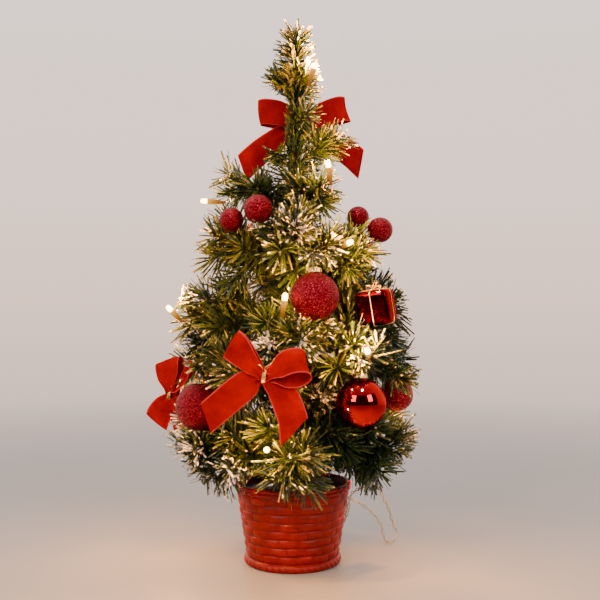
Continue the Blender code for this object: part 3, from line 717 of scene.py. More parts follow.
# ------------------------------------------------------------------ what needles keep clear of
capsules = []  # start, end, radius
for n in (n for n in nodes if n.startswith(("ball-", "berry-"))):
    centre, radius = centre_and_radius(n)
    capsules.append((centre, centre, radius + 0.0008))
    if n != "ball-right":
        capsules.append((centre, centre + np.array([0, -0.05, 0]), radius * 0.86))
gift_middle = middle_of("gift-box")
capsules.append((gift_middle, gift_middle, 0.0185))
capsules.append((gift_middle, gift_middle + np.array([0, -0.05, 0]), 0.0135))
LED_AIM = {
    "led-1": (0.35, -0.25, 0.90), "led-2": (-0.15, -0.35, 0.92), "led-3": (-0.97, -0.18, 0.05),
    "led-4": (0.35, -0.90, 0.15), "led-5": (0.15, -0.35, 0.92), "led-6": (-0.50, -0.60, 0.62),
    "led-7": (-0.15, -0.90, 0.38), "led-8": (-0.05, -0.98, 0.15),
}
LED_LENGTH = 0.020
led_tips = {}
for n, aim in LED_AIM.items():
    aim = unit(aim)
    tip = far_vertex(n, aim)
    led_tips[n] = (tip, aim)
    capsules.append((tip - LED_LENGTH * aim, tip + 0.002 * aim, 0.0034))
    capsules.append((tip - 0.003 * aim, tip + 0.012 * aim, 0.0062))
    capsules.append((tip, tip + np.array([0, -0.03, 0]), 0.0040))
LOW_LEDS = (("led-low-left", "branch-05", (-0.0960, 0.0130, 0.1010), (-0.9, 0.2, 0.3)),
            ("led-low-right", "branch-02", (0.0860, -0.0120, 0.1060), (0.8, -0.6, 0.2)))
BARE = led_tips["led-8"][0]  # the lamp whose neighbours carry no flock
glow_spots = np.array([tip for n, (tip, _) in led_tips.items() if n != "led-8"]
                      + [spot for _, _, spot, _ in LOW_LEDS])


def nearest_glow(p):
    return np.linalg.norm(p[:, None] - glow_spots[None], axis=2).min(axis=1)


def near_capsules(p):
    bad = np.zeros(len(p), bool)
    for a, b, r in capsules:
        ab = b - a
        t = np.clip(((p - a) @ ab) / max(float(ab @ ab), 1e-12), 0, 1)
        bad |= np.linalg.norm(p - (a + t[:, None] * ab), axis=1) < r
    return bad


cloud_tree = KDTree(sum(len(c[1]) for c in bow_clouds))
number = 0
for _, cloud, _ in bow_clouds:
    for p in cloud:
        cloud_tree.insert(p, number)
        number += 1
cloud_tree.balance()
shadows = []  # basis, cell table of the bow's rearmost depth
CELL = 0.003
BOW_CLEARANCE = 0.0019
for bow, cloud, basis in bow_clouds:
    if bow == "bow-left":
        continue
    local = cloud @ basis.T
    if bow == "bow-top":
        local = local[local[:, 0] < top_knot[0] - 0.0135]
    cells_seen = {}
    for x, z, d in local:
        key = (round(x / CELL), round(z / CELL))
        cells_seen[key] = min(cells_seen.get(key, 9.0), d)
    shadows.append((basis, cells_seen))


def near_bows(p):
    bad = np.zeros(len(p), bool)
    for k, spot in enumerate(p):
        if cloud_tree.find(spot)[2] < BOW_CLEARANCE:
            bad[k] = True
    for basis, table in shadows:
        local = p @ basis.T
        for k, (x, z, d) in enumerate(local):
            if not bad[k]:
                rear = table.get((round(x / CELL), round(z / CELL)))
                bad[k] = rear is not None and d > rear - 0.001
    return bad


POT_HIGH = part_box("pot")[1].z
POT_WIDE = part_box("pot")[1].x


def in_pot(p):
    return (np.hypot(p[:, 0], p[:, 1]) < POT_WIDE + 0.0012) & (p[:, 2] < POT_HIGH + 0.0008)


# Greatest reach of needle tips at each height
ENVELOPE = np.array([(0.045, 0.055), (0.060, 0.074), (0.078, 0.092), (0.105, 0.108), (0.135, 0.110),
                     (0.160, 0.108), (0.190, 0.102), (0.210, 0.098), (0.240, 0.088), (0.280, 0.078),
                     (0.325, 0.066), (0.357, 0.050), (0.385, 0.034), (0.410, 0.026), (0.450, 0.016)])


def outside(p):
    return np.hypot(p[:, 0], p[:, 1]) > np.interp(p[:, 2], *ENVELOPE.T)


# ------------------------------------------------------------------ needles
SHARE = np.array([0.0, 0.5, 1.0])
TAPER = np.array([0.90, 1.0, 0.82])
WHITENED = np.array([0.0, 0.15, 1.0])
# Needle tone along each needle: darker at the base, lighter and yellower at the tip.
TONE_BASE_TO_TIP = np.array([-0.22, 0.0, 0.16])


def keep_clear(base, aim, length, bend):
    """Which needles miss the ornaments, lamps, bows and pot, and stay within the tree's outline."""
    good = np.ones(len(base), bool)
    for t in (0.25, 0.5, 0.75, 1.0):
        p = base + aim * (length * t)[:, None] + bend * (length * t * t)[:, None]
        good &= ~near_capsules(p) & ~in_pot(p)
        idx = np.flatnonzero(good)
        good[idx] &= ~near_bows(p[idx])
    return good & ~outside(base + aim * length[:, None])


def strips(build, rng, base, aim, length, width, bend, tone, frost):
    """Folded flat strips, three sections of three points each; gives back which were kept."""
    kept = np.flatnonzero(keep_clear(base, aim, length, bend))
    base, aim, length, width = base[kept], aim[kept], length[kept], width[kept]
    bend, tone, frost = bend[kept], tone[kept], frost[kept]
    n = len(kept)
    if not n:
        return kept
    side = unit(np.cross(aim, rng.normal(size=(n, 3))))
    up = np.cross(aim, side)
    line = (base[:, None] + aim[:, None] * (length[:, None] * SHARE)[..., None]
            + bend[:, None] * (length[:, None] * SHARE**2)[..., None])
    half = (width[:, None] / 2 * TAPER)[..., None]
    fold = up[:, None] * half * 0.45
    spot = np.stack([line - side[:, None] * half + fold, line, line + side[:, None] * half + fold], axis=2)
    first = (np.arange(n) * 9)[:, None]
    quads = np.array([[k, k + 1, k + 4, k + 3] for k in (0, 1, 3, 4)])
    faces = (first[:, :, None] + quads[None]).reshape(-1, 4)
    white = np.clip(frost[:, None] * WHITENED + np.maximum(frost[:, None] - 1, 0) * 0.9, 0, 1)
    shade = tone[:, None] + TONE_BASE_TO_TIP
    build.add(spot.reshape(-1, 3), faces, 0, tone=np.repeat(shade, 3, axis=1).ravel(),
              frost=np.repeat(white, 3, axis=1).ravel())
    return kept


RATIO = (1 + 5 ** 0.5) / 2  # a lump is an icosahedron pushed out of shape
LUMP_CORNERS = unit(np.array([(-1, RATIO, 0), (1, RATIO, 0), (-1, -RATIO, 0), (1, -RATIO, 0),
                              (0, -1, RATIO), (0, 1, RATIO), (0, -1, -RATIO), (0, 1, -RATIO),
                              (RATIO, 0, -1), (RATIO, 0, 1), (-RATIO, 0, -1), (-RATIO, 0, 1)]))
LUMP_FACES = ((0, 11, 5), (0, 5, 1), (0, 1, 7), (0, 7, 10), (0, 10, 11), (1, 5, 9), (5, 11, 4), (11, 10, 2),
              (10, 7, 6), (7, 1, 8), (3, 9, 4), (3, 4, 2), (3, 2, 6), (3, 6, 8), (3, 8, 9), (4, 9, 5),
              (2, 4, 11), (6, 2, 10), (8, 6, 7), (9, 8, 1))


def lump(build, rng, centre, size, along):
    """A small uneven clump of flock, drawn out along the needle it sits on."""
    stretch = np.array([*rng.uniform(0.6, 1.05, 2), rng.uniform(1.3, 2.9)])
    rough = rng.uniform(0.72, 1.25, (12, 1))
    u = unit(np.cross(along, rng.normal(size=3)))
    frame_ = np.array([u, np.cross(along, u), along])
    build.add((LUMP_CORNERS * rough * stretch * size) @ frame_ + centre, LUMP_FACES, 2, tone=0.5, frost=1.0)


def brush(build, rng, line, length, per_mm, frost, tone, start=0.0, lean=(64, 44), tip_extra=12, wide=0.00128,
          snowball=0, burst=48):
    """Needles spiralling round a wire, leaning more toward its end, and a burst at the end."""
    line = evenly(np.asarray(line, float), 0.002)
    total = route_length(line)
    tangent, u, _ = carried_frames(line)
    along = np.linspace(0, 1, len(line))
    n = int(total * (1 - start) * 1000 * per_mm)
    at = start + (1 - start) * (np.arange(n) + rng.uniform(0, 1, n)) / n
    at = np.concatenate([at, np.full(tip_extra, 1.0)])
    n = len(at)
    turn = np.arange(n) * GOLDEN + rng.uniform(-0.5, 0.5, n)
    base = at_shares(at, along, line)
    t, a = unit(at_shares(at, along, tangent)), unit(at_shares(at, along, u))
    b = np.cross(t, a)
    tilt = np.radians(np.interp(at, (0.0, 0.75, 1.0), (lean[0], lean[0] - 6, lean[1])) + rng.normal(0, 10, n))
    tilt[-tip_extra:] = np.radians(rng.uniform(4, burst, tip_extra))
    round_ = np.cos(turn)[:, None] * a + np.sin(turn)[:, None] * b
    aim = unit(np.cos(tilt)[:, None] * t + np.sin(tilt)[:, None] * round_)
    size = length * rng.uniform(0.74, 1.12, n)
    size[-tip_extra:] *= 0.84
    bend = t * rng.uniform(-0.04, 0.16, n)[:, None] + np.array([0, 0, -0.03]) + rng.normal(0, 0.030, (n, 3))
    shade = np.clip(tone + rng.normal(0, 0.22, n) + 0.10 * (at - 0.5), 0, 1)
    lit = nearest_glow(base + aim * size[:, None] * 0.8)
    snow = frost * np.interp(at, (0.0, 0.45, 0.8, 1.0), (0.0, 0.35, 0.80, 1.0)) * rng.uniform(0.20, 1.30, n)
    if frost < 1.15:
        snow = np.clip(snow, 0, 1)
    # Painted lamp glow: needles near the lamps are whitened like flock.
    snow += 0.85 * np.exp(-(lit / 0.015) ** 2)
    snow *= np.clip(np.linalg.norm(base + aim * size[:, None] * 0.8 - BARE, axis=1) / 0.030 - 0.4, 0, 1)
    width = wide * rng.uniform(0.78, 1.22, n) * (1 + 0.35 * np.clip(snow, 0, 1))
    kept = strips(build, rng, base, aim, size, width, bend, shade, snow)
    outer = kept[at[kept] > 0.5]
    if not len(outer):
        return
    for _ in range(int(34 * max(0.0, frost - 0.35) * min(1.0, total / 0.03))):
        k = rng.choice(outer)
        share = rng.uniform(0.35, 0.98)
        spot = base[k] + aim[k] * size[k] * share + bend[k] * size[k] * share * share
        if np.linalg.norm(spot - BARE) > 0.020:
            lump(build, rng, spot, rng.uniform(0.0006, 0.0011), aim[k])
    last = kept[at[kept] > 0.9]
    for _ in range(snowball if len(last) else 0):
        k = rng.choice(last)
        share = rng.uniform(0.02, 0.45)
        spot = base[k] + aim[k] * size[k] * share
        if not near_capsules(spot[None])[0] and np.linalg.norm(spot - BARE) > 0.020:
            lump(build, rng, spot, rng.uniform(0.0007, 0.0014), aim[k])


def core(build, line, radius):
    """The branch's own twisted wire."""
    line = evenly(np.asarray(line, float), 0.0022)
    verts, faces = sweep(line, np.interp(np.linspace(0, 1, len(line)), (0, 1), (radius, radius * 0.55)), 6)
    build.add(verts, faces, 1, tone=0.1)


def bent(start, aim, length, rise=0.05, steps=7):
    """A wire's line from a point, curving up a little."""
    t = np.linspace(0, 1, steps)[:, None]
    return start + np.asarray(aim) * length * t + np.array([0, 0, rise * length]) * t * t


def turned_aim(aim, yaw, pitch):
    """A direction turned about Z and then tipped up."""
    flat = unit(np.array([aim[0], aim[1], 0.0]))
    up = np.arctan2(aim[2], np.hypot(aim[0], aim[1])) + radians(pitch)
    c, s = cos(radians(yaw)), sin(radians(yaw))
    flat = np.array([flat[0] * c - flat[1] * s, flat[0] * s + flat[1] * c, 0.0])
    return np.array([flat[0] * cos(up), flat[1] * cos(up), sin(up)])


# Tiers by hinge height: highest hinge, needle length, side twigs (share along the branch, yaw, pitch, length)
TIERS = (
    (0.12, 0.0245, ((0.22, 38, 12, 0.050), (0.24, -38, -4, 0.050), (0.46, 26, -36, 0.038),
                    (0.48, -26, 26, 0.040), (0.62, -12, -40, 0.030), (0.62, 18, 6, 0.030))),
    (0.17, 0.0240, ((0.22, 38, -14, 0.048), (0.26, -38, 10, 0.048), (0.50, 24, 28, 0.036),
                    (0.52, -24, -30, 0.036), (0.65, 14, -10, 0.024))),
    (0.22, 0.0240, ((0.22, 38, -12, 0.044), (0.26, -38, 10, 0.044), (0.50, 24, 28, 0.034),
                    (0.52, -24, -32, 0.034), (0.65, -14, 14, 0.024), (0.30, 2, 44, 0.034))),
    (0.27, 0.0225, ((0.22, 38, -12, 0.036), (0.26, -38, 12, 0.036), (0.52, 20, 26, 0.026),
                    (0.52, -22, -32, 0.026), (0.34, 0, -58, 0.030))),
    (0.31, 0.0205, ((0.25, 40, -12, 0.026), (0.28, -40, 10, 0.026), (0.52, 0, -36, 0.022))),
    (0.40, 0.0190, ((0.30, 42, -14, 0.018), (0.34, -42, 8, 0.018))),
)
FROST = {1: 0.62, 2: 0.55, 3: 0.72, 4: 0.55, 5: 0.72, 6: 0.98, 7: 0.62, 8: 0.62, 9: 0.60, 10: 0.5, 11: 0.85,
         12: 0.86, 13: 0.60, 14: 0.5, 15: 0.66, 16: 0.90, 17: 0.58, 18: 0.5, 19: 0.5, 20: 0.55, 21: 0.48,
         22: 0.4, 23: 0.32, 24: 0.72, 25: 0.40}
SHORTER = {25: 0.70}

# Sprigs placed one by one: body, start, aim, length, needle, frost, snowball
BY_LED_7, BY_LED_6, BY_BALL = led_tips["led-7"][0], led_tips["led-6"][0], centre_and_radius("ball-right")[0]
ON_LED_7, ON_LED_6, ON_FRONT = (body_of_node[n] for n in ("led-7", "led-6", "ball-front"))
OVER_FRONT, OVER_GLOSS, OVER_LEFT = (middle_of("cap-" + n) for n in ("front", "gloss", "left"))
SPRIGS = (
    (ON_LED_7, BY_LED_7 + (0.002, 0.013, -0.006), (0.62, -0.25, 0.74), 0.020, 0.0165, 1.3, 46),
    (ON_LED_7, BY_LED_7 + (0.006, 0.012, -0.006), (0.95, -0.30, 0.20), 0.022, 0.0165, 1.2, 30),
    (ON_LED_6, BY_LED_6 + (0.004, 0.013, -0.004), (0.45, -0.20, 0.85), 0.013, 0.0140, 1.1, 16),
    (ON_LED_7, BY_BALL + (-0.016, -0.016, 0.022), (0.72, -0.42, -0.35), 0.022, 0.0160, 0.55, 0),
    ("branch-02", (0.0720, -0.0260, 0.1030), (0.86, -0.34, 0.26), 0.019, 0.0140, 1.3, 80),
    ("branch-02", (0.0720, -0.0240, 0.0990), (0.86, -0.36, -0.20), 0.018, 0.0140, 1.2, 50),
    (ON_FRONT, OVER_FRONT + (-0.004, 0.004, 0.012), (0.15, -0.85, -0.10), 0.014, 0.0135, 0.7, 6),
    (ON_FRONT, OVER_FRONT + (0.006, 0.004, 0.010), (0.35, -0.80, -0.20), 0.012, 0.0125, 0.5, 0),
    ("branch-08", OVER_GLOSS + (-0.003, 0.003, 0.012), (0.10, -0.85, -0.15), 0.012, 0.0120, 0.9, 6),
    ("branch-06", OVER_LEFT + (0.002, 0.004, 0.011), (-0.10, -0.85, -0.15), 0.012, 0.0125, 0.6, 0),
    ("branch-06", (-0.0680, -0.0330, 0.1000), (-0.75, -0.45, -0.35), 0.022, 0.0170, 1.6, 40),
    ("branch-06", (-0.0600, -0.0420, 0.1020), (-0.62, -0.62, -0.10), 0.022, 0.0160, 1.5, 30),
    ("branch-06", (-0.0380, -0.0600, 0.0960), (-0.45, -0.75, -0.42), 0.022, 0.0170, 1.6, 40),
    ("branch-12", (-0.0120, -0.0700, 0.1800), (-0.40, -0.85, 0.15), 0.012, 0.0130, 1.5, 90),
    ("branch-16", (0.0040, -0.0470, 0.2620), (0.10, -0.85, 0.30), 0.013, 0.0135, 1.5, 90),
    ("tree", (0.0035, -0.0045, 0.1250), (0.40, -0.82, 0.24), 0.050, 0.0150, 1.25, 80),
    ("tree", (0.0045, 0.0000, 0.1180), (0.86, 0.30, 0.16), 0.052, 0.0200, 0.30, 0),
    ("tree", (0.0045, -0.0030, 0.1300), (0.93, -0.25, -0.05), 0.040, 0.0190, 0.30, 0),
    ("tree", (0.0030, 0.0045, 0.1220), (0.30, 0.90, 0.12), 0.048, 0.0200, 0.20, 0),
)


def sprigs_on(build, rng, body):
    for rides_on, start, aim, length, needle, frost, snowball in SPRIGS:
        if rides_on == body:
            twig = bent(np.array(start), unit(aim), length)
            core(build, twig, 0.0009)
            brush(build, rng, twig, needle, 4.2, frost, 0.32, start=0.15, tip_extra=18, snowball=snowball)


BRUSH = [PINE, STEM, FLOCK]
branch_lines = {}
for number in range(1, 26):
    name = f"branch-{number:02d}"
    joint = joints[name]
    rng = np.random.default_rng(100 + number)
    hinge = np.array(joint["pos_m"])
    ahead = unit(np.array([-joint["axis"][1], joint["axis"][0], 0.0]))
    tip = far_vertex(name, ahead)
    steps = np.linspace(0, 1, 9)[:, None]
    reach = float((tip - hinge) @ ahead)
    end = hinge + ahead * reach * 0.93
    end[2] = tip[2] - 0.05 * reach * 0.07
    line = hinge + (end - hinge) * steps + np.array([0, 0, 0.05 * reach]) * steps * (1 - steps)
    branch_lines[name] = line
    _, needle, twigs = next(t for t in TIERS if hinge[2] < t[0])
    needle *= SHORTER.get(number, 1.0)
    build = Build()
    core(build, line, 0.0014)
    frost = FROST[number]
    tone = 0.28 + 0.08 * rng.uniform(-1, 1)
    brush(build, rng, line, needle, 3.8, frost, tone, start=0.10, tip_extra=18,
          snowball=26 if frost > 0.7 else 8)
    aim = unit(end - hinge)
    for share, yaw, pitch, length in twigs:
        where = line[0] + (line[-1] - line[0]) * share + np.array([0, 0, 0.05 * reach * share * (1 - share)])
        twig = bent(where, turned_aim(aim, yaw + rng.uniform(-5, 5), pitch + rng.uniform(-5, 5)),
                    length * rng.uniform(0.92, 1.08) * min(1.0, reach / 0.06),
                    rise=0.08 if pitch > -20 else -0.04)
        core(build, twig, 0.0009)
        snow = frost * rng.choice((0.45, 0.75, 1.10))
        brush(build, rng, twig, needle * 0.94, 4.0, snow, tone, start=0.05, tip_extra=14)
    sprigs_on(build, rng, name)
    fit(build.make(name + "-needles", BRUSH), name, name)

# Stem filling: short brushwood wound on the stem between the tiers
rng = np.random.default_rng(7)
build = Build()
for turn, (low, high) in enumerate(((0.069, 0.150), (0.140, 0.215), (0.205, 0.285), (0.275, 0.345))):
    line = [(0.0045 * cos(2.4 * k + turn), 0.0045 * sin(2.4 * k + turn), z)
            for k, z in enumerate(np.linspace(low, high, 9))]
    brush(build, rng, line, 0.0340 - 0.003 * turn, 7.0, 0.0, 0.12, lean=(80, 70), tip_extra=4, wide=0.0014)
sprigs_on(build, rng, "tree")
fit(build.make("stem-needles", BRUSH), "tree")

# Leader: the upright end of the stem, with side tufts
rng = np.random.default_rng(11)
build = Build()
low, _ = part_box("leader")
top = far_vertex("leader", (0, 0, 1))
line = np.linspace([0, 0, low.z - 0.004], [top[0], top[1], top[2] - 0.013], 9)
core(build, line, 0.0016)
neck = low.z + 0.040
slim = line[line[:, 2] < neck + 0.006]
bushy = line[line[:, 2] > neck - 0.006]
brush(build, rng, slim, 0.0125, 6.0, 0.30, 0.34, lean=(58, 50), tip_extra=2)
brush(build, rng, bushy, 0.0185, 7.0, 1.0, 0.60, lean=(80, 62), tip_extra=30, wide=0.0016, snowball=30,
      burst=75)
for share, yaw, pitch, length, frost in (
        (0.50, 185, 28, 0.016, 0.15), (0.58, 176, 26, 0.014, 0.35), (0.44, 200, 12, 0.012, 0.2),
        (0.56, -20, 40, 0.013, 1.2), (0.40, 10, 46, 0.014, 0.9), (0.66, 60, 30, 0.010, 0.7),
        (0.20, -50, 20, 0.018, 0.5), (0.12, 70, 24, 0.018, 0.5)):
    where = line[0] + (line[-1] - line[0]) * share
    twig = bent(where, turned_aim((1.0, 0, 0), yaw, pitch), length)
    core(build, twig, 0.0008)
    brush(build, rng, twig, 0.0160, 4.4, frost, 0.42, tip_extra=12, burst=34)
fit(build.make("leader-needles", BRUSH), "tree", "leader")


# ------------------------------------------------------------------ lamps
# Pieces here take only the studio's light: velvet, glitter and sleeves
lamp_reach = bpy.data.collections.new("lamp-reach")


def spare(ob):
    lamp_reach.objects.link(ob)
    for entry in lamp_reach.collection_objects:
        entry.light_linking.link_state = "EXCLUDE"


for bow in ("bow-front", "bow-top", "bow-left"):
    spare(bpy.data.objects[bow + "-ribbon"])


def on_line(line, spot):
    return line[np.argmin(np.linalg.norm(line - spot, axis=1))]


def lamp(name, tip, aim, body, watts, anchor):
    """A dome lens in a tapered amber sleeve on its twisted pair, and the light it gives."""
    build = Build()
    lens = [(0, -0.0072), (0.0016, -0.0072), (0.0019, -0.0064), (0.0021, -0.0042), (0.0020, -0.0018),
            (0.0017, -0.0009), (0.0012, -0.0003), (0.0006, -0.0001), (0, 0)]
    verts, faces = turned(lens, 20, tip, aim)
    build.add(verts, faces, 0, lit=1.0)
    sleeve = [(0, -LED_LENGTH), (0.0011, -LED_LENGTH), (0.0013, -0.0185), (0.0018, -0.0150),
              (0.0023, -0.0100), (0.0024, -0.0066), (0.0024, -0.0056), (0.00215, -0.0054),
              (0.00215, -0.0068), (0, -0.0068)]
    verts, faces = turned(sleeve, 20, tip, aim)
    depth = np.abs((verts - tip) @ aim)
    build.add(verts, faces, 1, lit=np.clip((0.0205 - depth) / 0.0150, 0, 1))
    ob = fit(build.make(name + "-lamp", [LENS, SLEEVE], sharp=50), body, name)
    spare(ob)
    back = tip - aim * LED_LENGTH
    half_way = (back - aim * 0.010) * 0.5 + anchor * 0.5
    route = np.array([back + aim * 0.002, back - aim * 0.005, half_way, anchor])
    wires = Build()
    twisted(wires, smooth_route(route, 0.0009), 0.00031, 0.00034, 0.0075, sides=6)
    fit(wires.make(name + "-pair", [WIRE]), body)
    data = bpy.data.lights.new(name + "-glow", "POINT")
    data.color = (1.0, 0.38, 0.055)
    data.energy = watts
    data.shadow_soft_size = 0.0026
    glow = bpy.data.objects.new(name + "-glow", data)
    glow.location = tip + aim * 0.0035
    glow.light_linking.receiver_collection = lamp_reach
    scene.collection.objects.link(glow)
    bpy.context.view_layer.update()
    glow.parent = ob
    glow.matrix_parent_inverse = ob.matrix_world.inverted()


WATTS = {"led-1": 1.7, "led-7": 1.9, "led-6": 1.5, "led-8": 1.1}
USUAL_WATTS = 1.35
LOW_WATTS = 1.25
for name, (tip, aim) in led_tips.items():
    body = body_of_node[name]
    if body == "tree":
        anchor = np.array([0.0015, 0, tip[2] - 0.030])
    else:
        anchor = on_line(branch_lines[body], tip - aim * 0.03)
    lamp(name, tip, aim, body, WATTS.get(name, USUAL_WATTS), anchor)
for name, body, tip, aim in LOW_LEDS:
    aim, tip = unit(aim), np.array(tip)
    lamp(name, tip, aim, body, LOW_WATTS, on_line(branch_lines[body], tip - aim * 0.03))


# ------------------------------------------------------------------ round ornaments
def ball_profile(radius, cut=0.0):
    turn = np.linspace(-pi / 2, pi / 2, 41)
    points = [(radius * cos(t), radius * sin(t)) for t in turn]
    points[0] = (0, -radius)
    if cut:
        points = [p for p in points if p[1] < radius - cut]
        rim = (radius**2 - (radius - cut) ** 2) ** 0.5
        points += [(rim, radius - cut), (rim * 0.96, radius - cut + 0.0006), (0, radius - cut + 0.0006)]
    else:
        points[-1] = (0, radius)
    return points


def cap(name, body, spot, hang):
    """A crimped metal cap with its wire eye, and a gold thread up to the twig it hangs from."""
    low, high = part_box(name)
    radius = (high.x - low.x) / 2
    turn = np.linspace(0, 2 * pi, 96, endpoint=False)
    wave = np.cos(turn * 16)
    rows_r, rows_z = [], []
    for r, z, crimp in ((0.86, 0.0001, 0), (1.03, -0.0003, 0.055), (1.02, 0.0007, 0.045),
                        (0.97, 0.0016, 0.030), (0.95, 0.0024, 0.012), (0.88, 0.0030, 0),
                        (0.60, 0.0033, 0), (0.25, 0.0034, 0)):
        rows_r.append(radius * (r + crimp * wave))
        rows_z.append(spot[2] + z)
    verts, faces = ring_grid(rows_r, rows_z, turn)
    build = Build()
    build.add(verts + (spot[0], spot[1], 0), faces)
    t = np.linspace(0, 2 * pi, 33)
    eye = np.stack([0.0015 * np.cos(t), 0.0003 * np.sin(2 * t), 0.0052 + 0.0020 * np.sin(t)], axis=1) + spot
    build.add(*sweep(eye, 0.00035, 6))
    fit(build.make(name + "-crimped", [CAP], sharp=45), body, name)
    rise = max(hang[2] - spot[2] - 0.0055, 0.003)
    t = np.linspace(0, 2 * pi, 49)
    up = 0.0055 + rise * (0.5 - 0.5 * np.cos(t))
    loop = np.stack([0.0012 * np.sin(t), 0.0008 * np.sin(2 * t), up], axis=1)
    fit(single(name + "-thread", THREAD, sweep(loop + spot, 0.00028, 6)), body)


def round_piece(name, mat, sides, cut=0.0):
    """A ball where the CAD has it. Only the mirror ball takes the lamps' light."""
    centre, radius = centre_and_radius(name)
    ball = single(name + "-round", mat, turned(ball_profile(radius, cut), sides, centre))
    fit(ball, body_of_node[name], name)
    if mat is not GLOSS:
        spare(ball)
    return centre, radius, body_of_node[name]


for name, mat, slot_name, cap_name, hang in (
        ("ball-front", GLITTER_WIDE, "glitter-red", "cap-front", None),
        ("ball-left", GLITTER_WIDE, "glitter-red", "cap-left", None),
        ("ball-right", GLITTER_WIDE, "glitter-red", None, None),
        ("ball-gloss", GLOSS, "gloss-red", "cap-gloss", "hanging-ball")):
    centre, _, body = round_piece(name, mat, 96, 0.0005 if cap_name else 0.0)
    if cap_name:
        low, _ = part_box(cap_name)
        spot = np.array([centre[0], centre[1], low.z])
        up = np.array(joints[hang]["pos_m"]) if hang else spot + np.array([0, 0, 0.016])
        cap(cap_name, body, spot, up)
for name in ("berry-1", "berry-2", "berry-3", "berry-4"):
    centre, radius, body = round_piece(name, GLITTER, 72)
    anchor = on_line(branch_lines[body], centre)
    down = unit(anchor - centre)
    start = centre + down * (radius - 0.0006)
    route = smooth_route([start, start + down * 0.006 + np.array([0, 0, -0.002]), anchor], 0.0009)
    fit(single(name + "-stalk", STALK, sweep(route, 0.00055, 8)), body)


# ------------------------------------------------------------------ gift box
GIFT_SIZE = np.array([0.0260, 0.0240, 0.0270])
GIFT_TURN = Euler((radians(6), radians(-7), radians(-22)))


def soft_box(size, steps=14, power=9.0, puff=0.035):
    """A foil-wrapped block: rounded edges and faces that swell a little."""
    verts, faces = [], []
    t = np.linspace(-1, 1, steps + 1)
    t = np.sign(t) * np.abs(t) ** 0.75
    a, b = np.meshgrid(t, t, indexing="ij")
    for axis in range(3):
        for side in (-1, 1):
            p = np.zeros((steps + 1, steps + 1, 3))
            p[..., axis] = side
            p[..., (axis + 1) % 3] = a
            p[..., (axis + 2) % 3] = b * side
            norm = (np.abs(p) ** power).sum(-1, keepdims=True) ** (1 / power)
            p = p / norm
            p[..., axis] *= 1 + puff * (1 - a**2) * (1 - b**2)
            start = len(verts) * (steps + 1) ** 2
            verts.append(p.reshape(-1, 3))
            for i in range(steps):
                for j in range(steps):
                    q = start + i * (steps + 1) + j
                    faces.append((q, q + steps + 1, q + steps + 2, q + 1))
    return np.concatenate(verts) * size / 2, faces


turn = np.array(GIFT_TURN.to_matrix())
verts, faces = soft_box(GIFT_SIZE)
gift = single("gift-box-foil", FOIL, (verts @ turn.T + gift_middle, faces))
applied(gift, "WELD", merge_threshold=0.00002)
fit(gift, "hanging-gift", "gift-box")
build = Build()
half = GIFT_SIZE / 2 + 0.0005
for first, second in ((0, 2), (1, 2)):
    t = np.linspace(0, 2 * pi, 81)
    c, s = np.cos(t), np.sin(t)
    norm = (np.abs(c) ** 9 + np.abs(s) ** 9) ** (1 / 9)
    loop = np.zeros((81, 3))
    loop[:, first] = c / norm * half[first]
    loop[:, second] = s / norm * half[second]
    build.add(*sweep(loop @ turn.T + gift_middle, 0.00042, 6))
knot = gift_middle + turn @ np.array([0, 0, half[2] + 0.0006])
for angle in (35, 145, 215, 325):
    c, s = cos(radians(angle)), sin(radians(angle))
    t = np.linspace(0, pi, 17)
    up = 0.0020 * np.sin(2 * t) + 0.0012 * np.sin(t)
    loop = np.stack([c * 0.0065 * np.sin(t), s * 0.0065 * np.sin(t), up], axis=1)
    loop += np.stack([-s * 0.0016 * np.sin(2 * t), c * 0.0016 * np.sin(2 * t), 0 * t], axis=1)
    build.add(*sweep(loop + knot, 0.00040, 6))
hang = np.array(joints["hanging-gift"]["pos_m"])
t = np.linspace(0, 2 * pi, 41)[:, None]
loop = knot + (hang - knot) * (0.5 - 0.5 * np.cos(t)) + np.array([0.0012, 0.0004, 0]) * np.sin(t)
build.add(*sweep(loop, 0.00030, 6))
fit(build.make("gift-box-thread", [THREAD]), "hanging-gift")


# ------------------------------------------------------------------ pot
FLANGE_HEIGHT = 0.0062
RIM_LOW = 0.0600
ROWS = 8
BRICKS = 17


def pot_radius(z):
    """The shell's outside, without its weave."""
    return np.interp(z, (FLANGE_HEIGHT, RIM_LOW), (0.0385, 0.0470))


turn = np.linspace(0, 2 * pi, 544, endpoint=False)
rows_r, rows_z, rows_proud = [], [], []


def pot_row(radius, z, proud=1.0):
    rows_r.append(np.broadcast_to(radius, turn.shape).copy())
    rows_z.append(z)
    rows_proud.append(np.broadcast_to(proud, turn.shape))


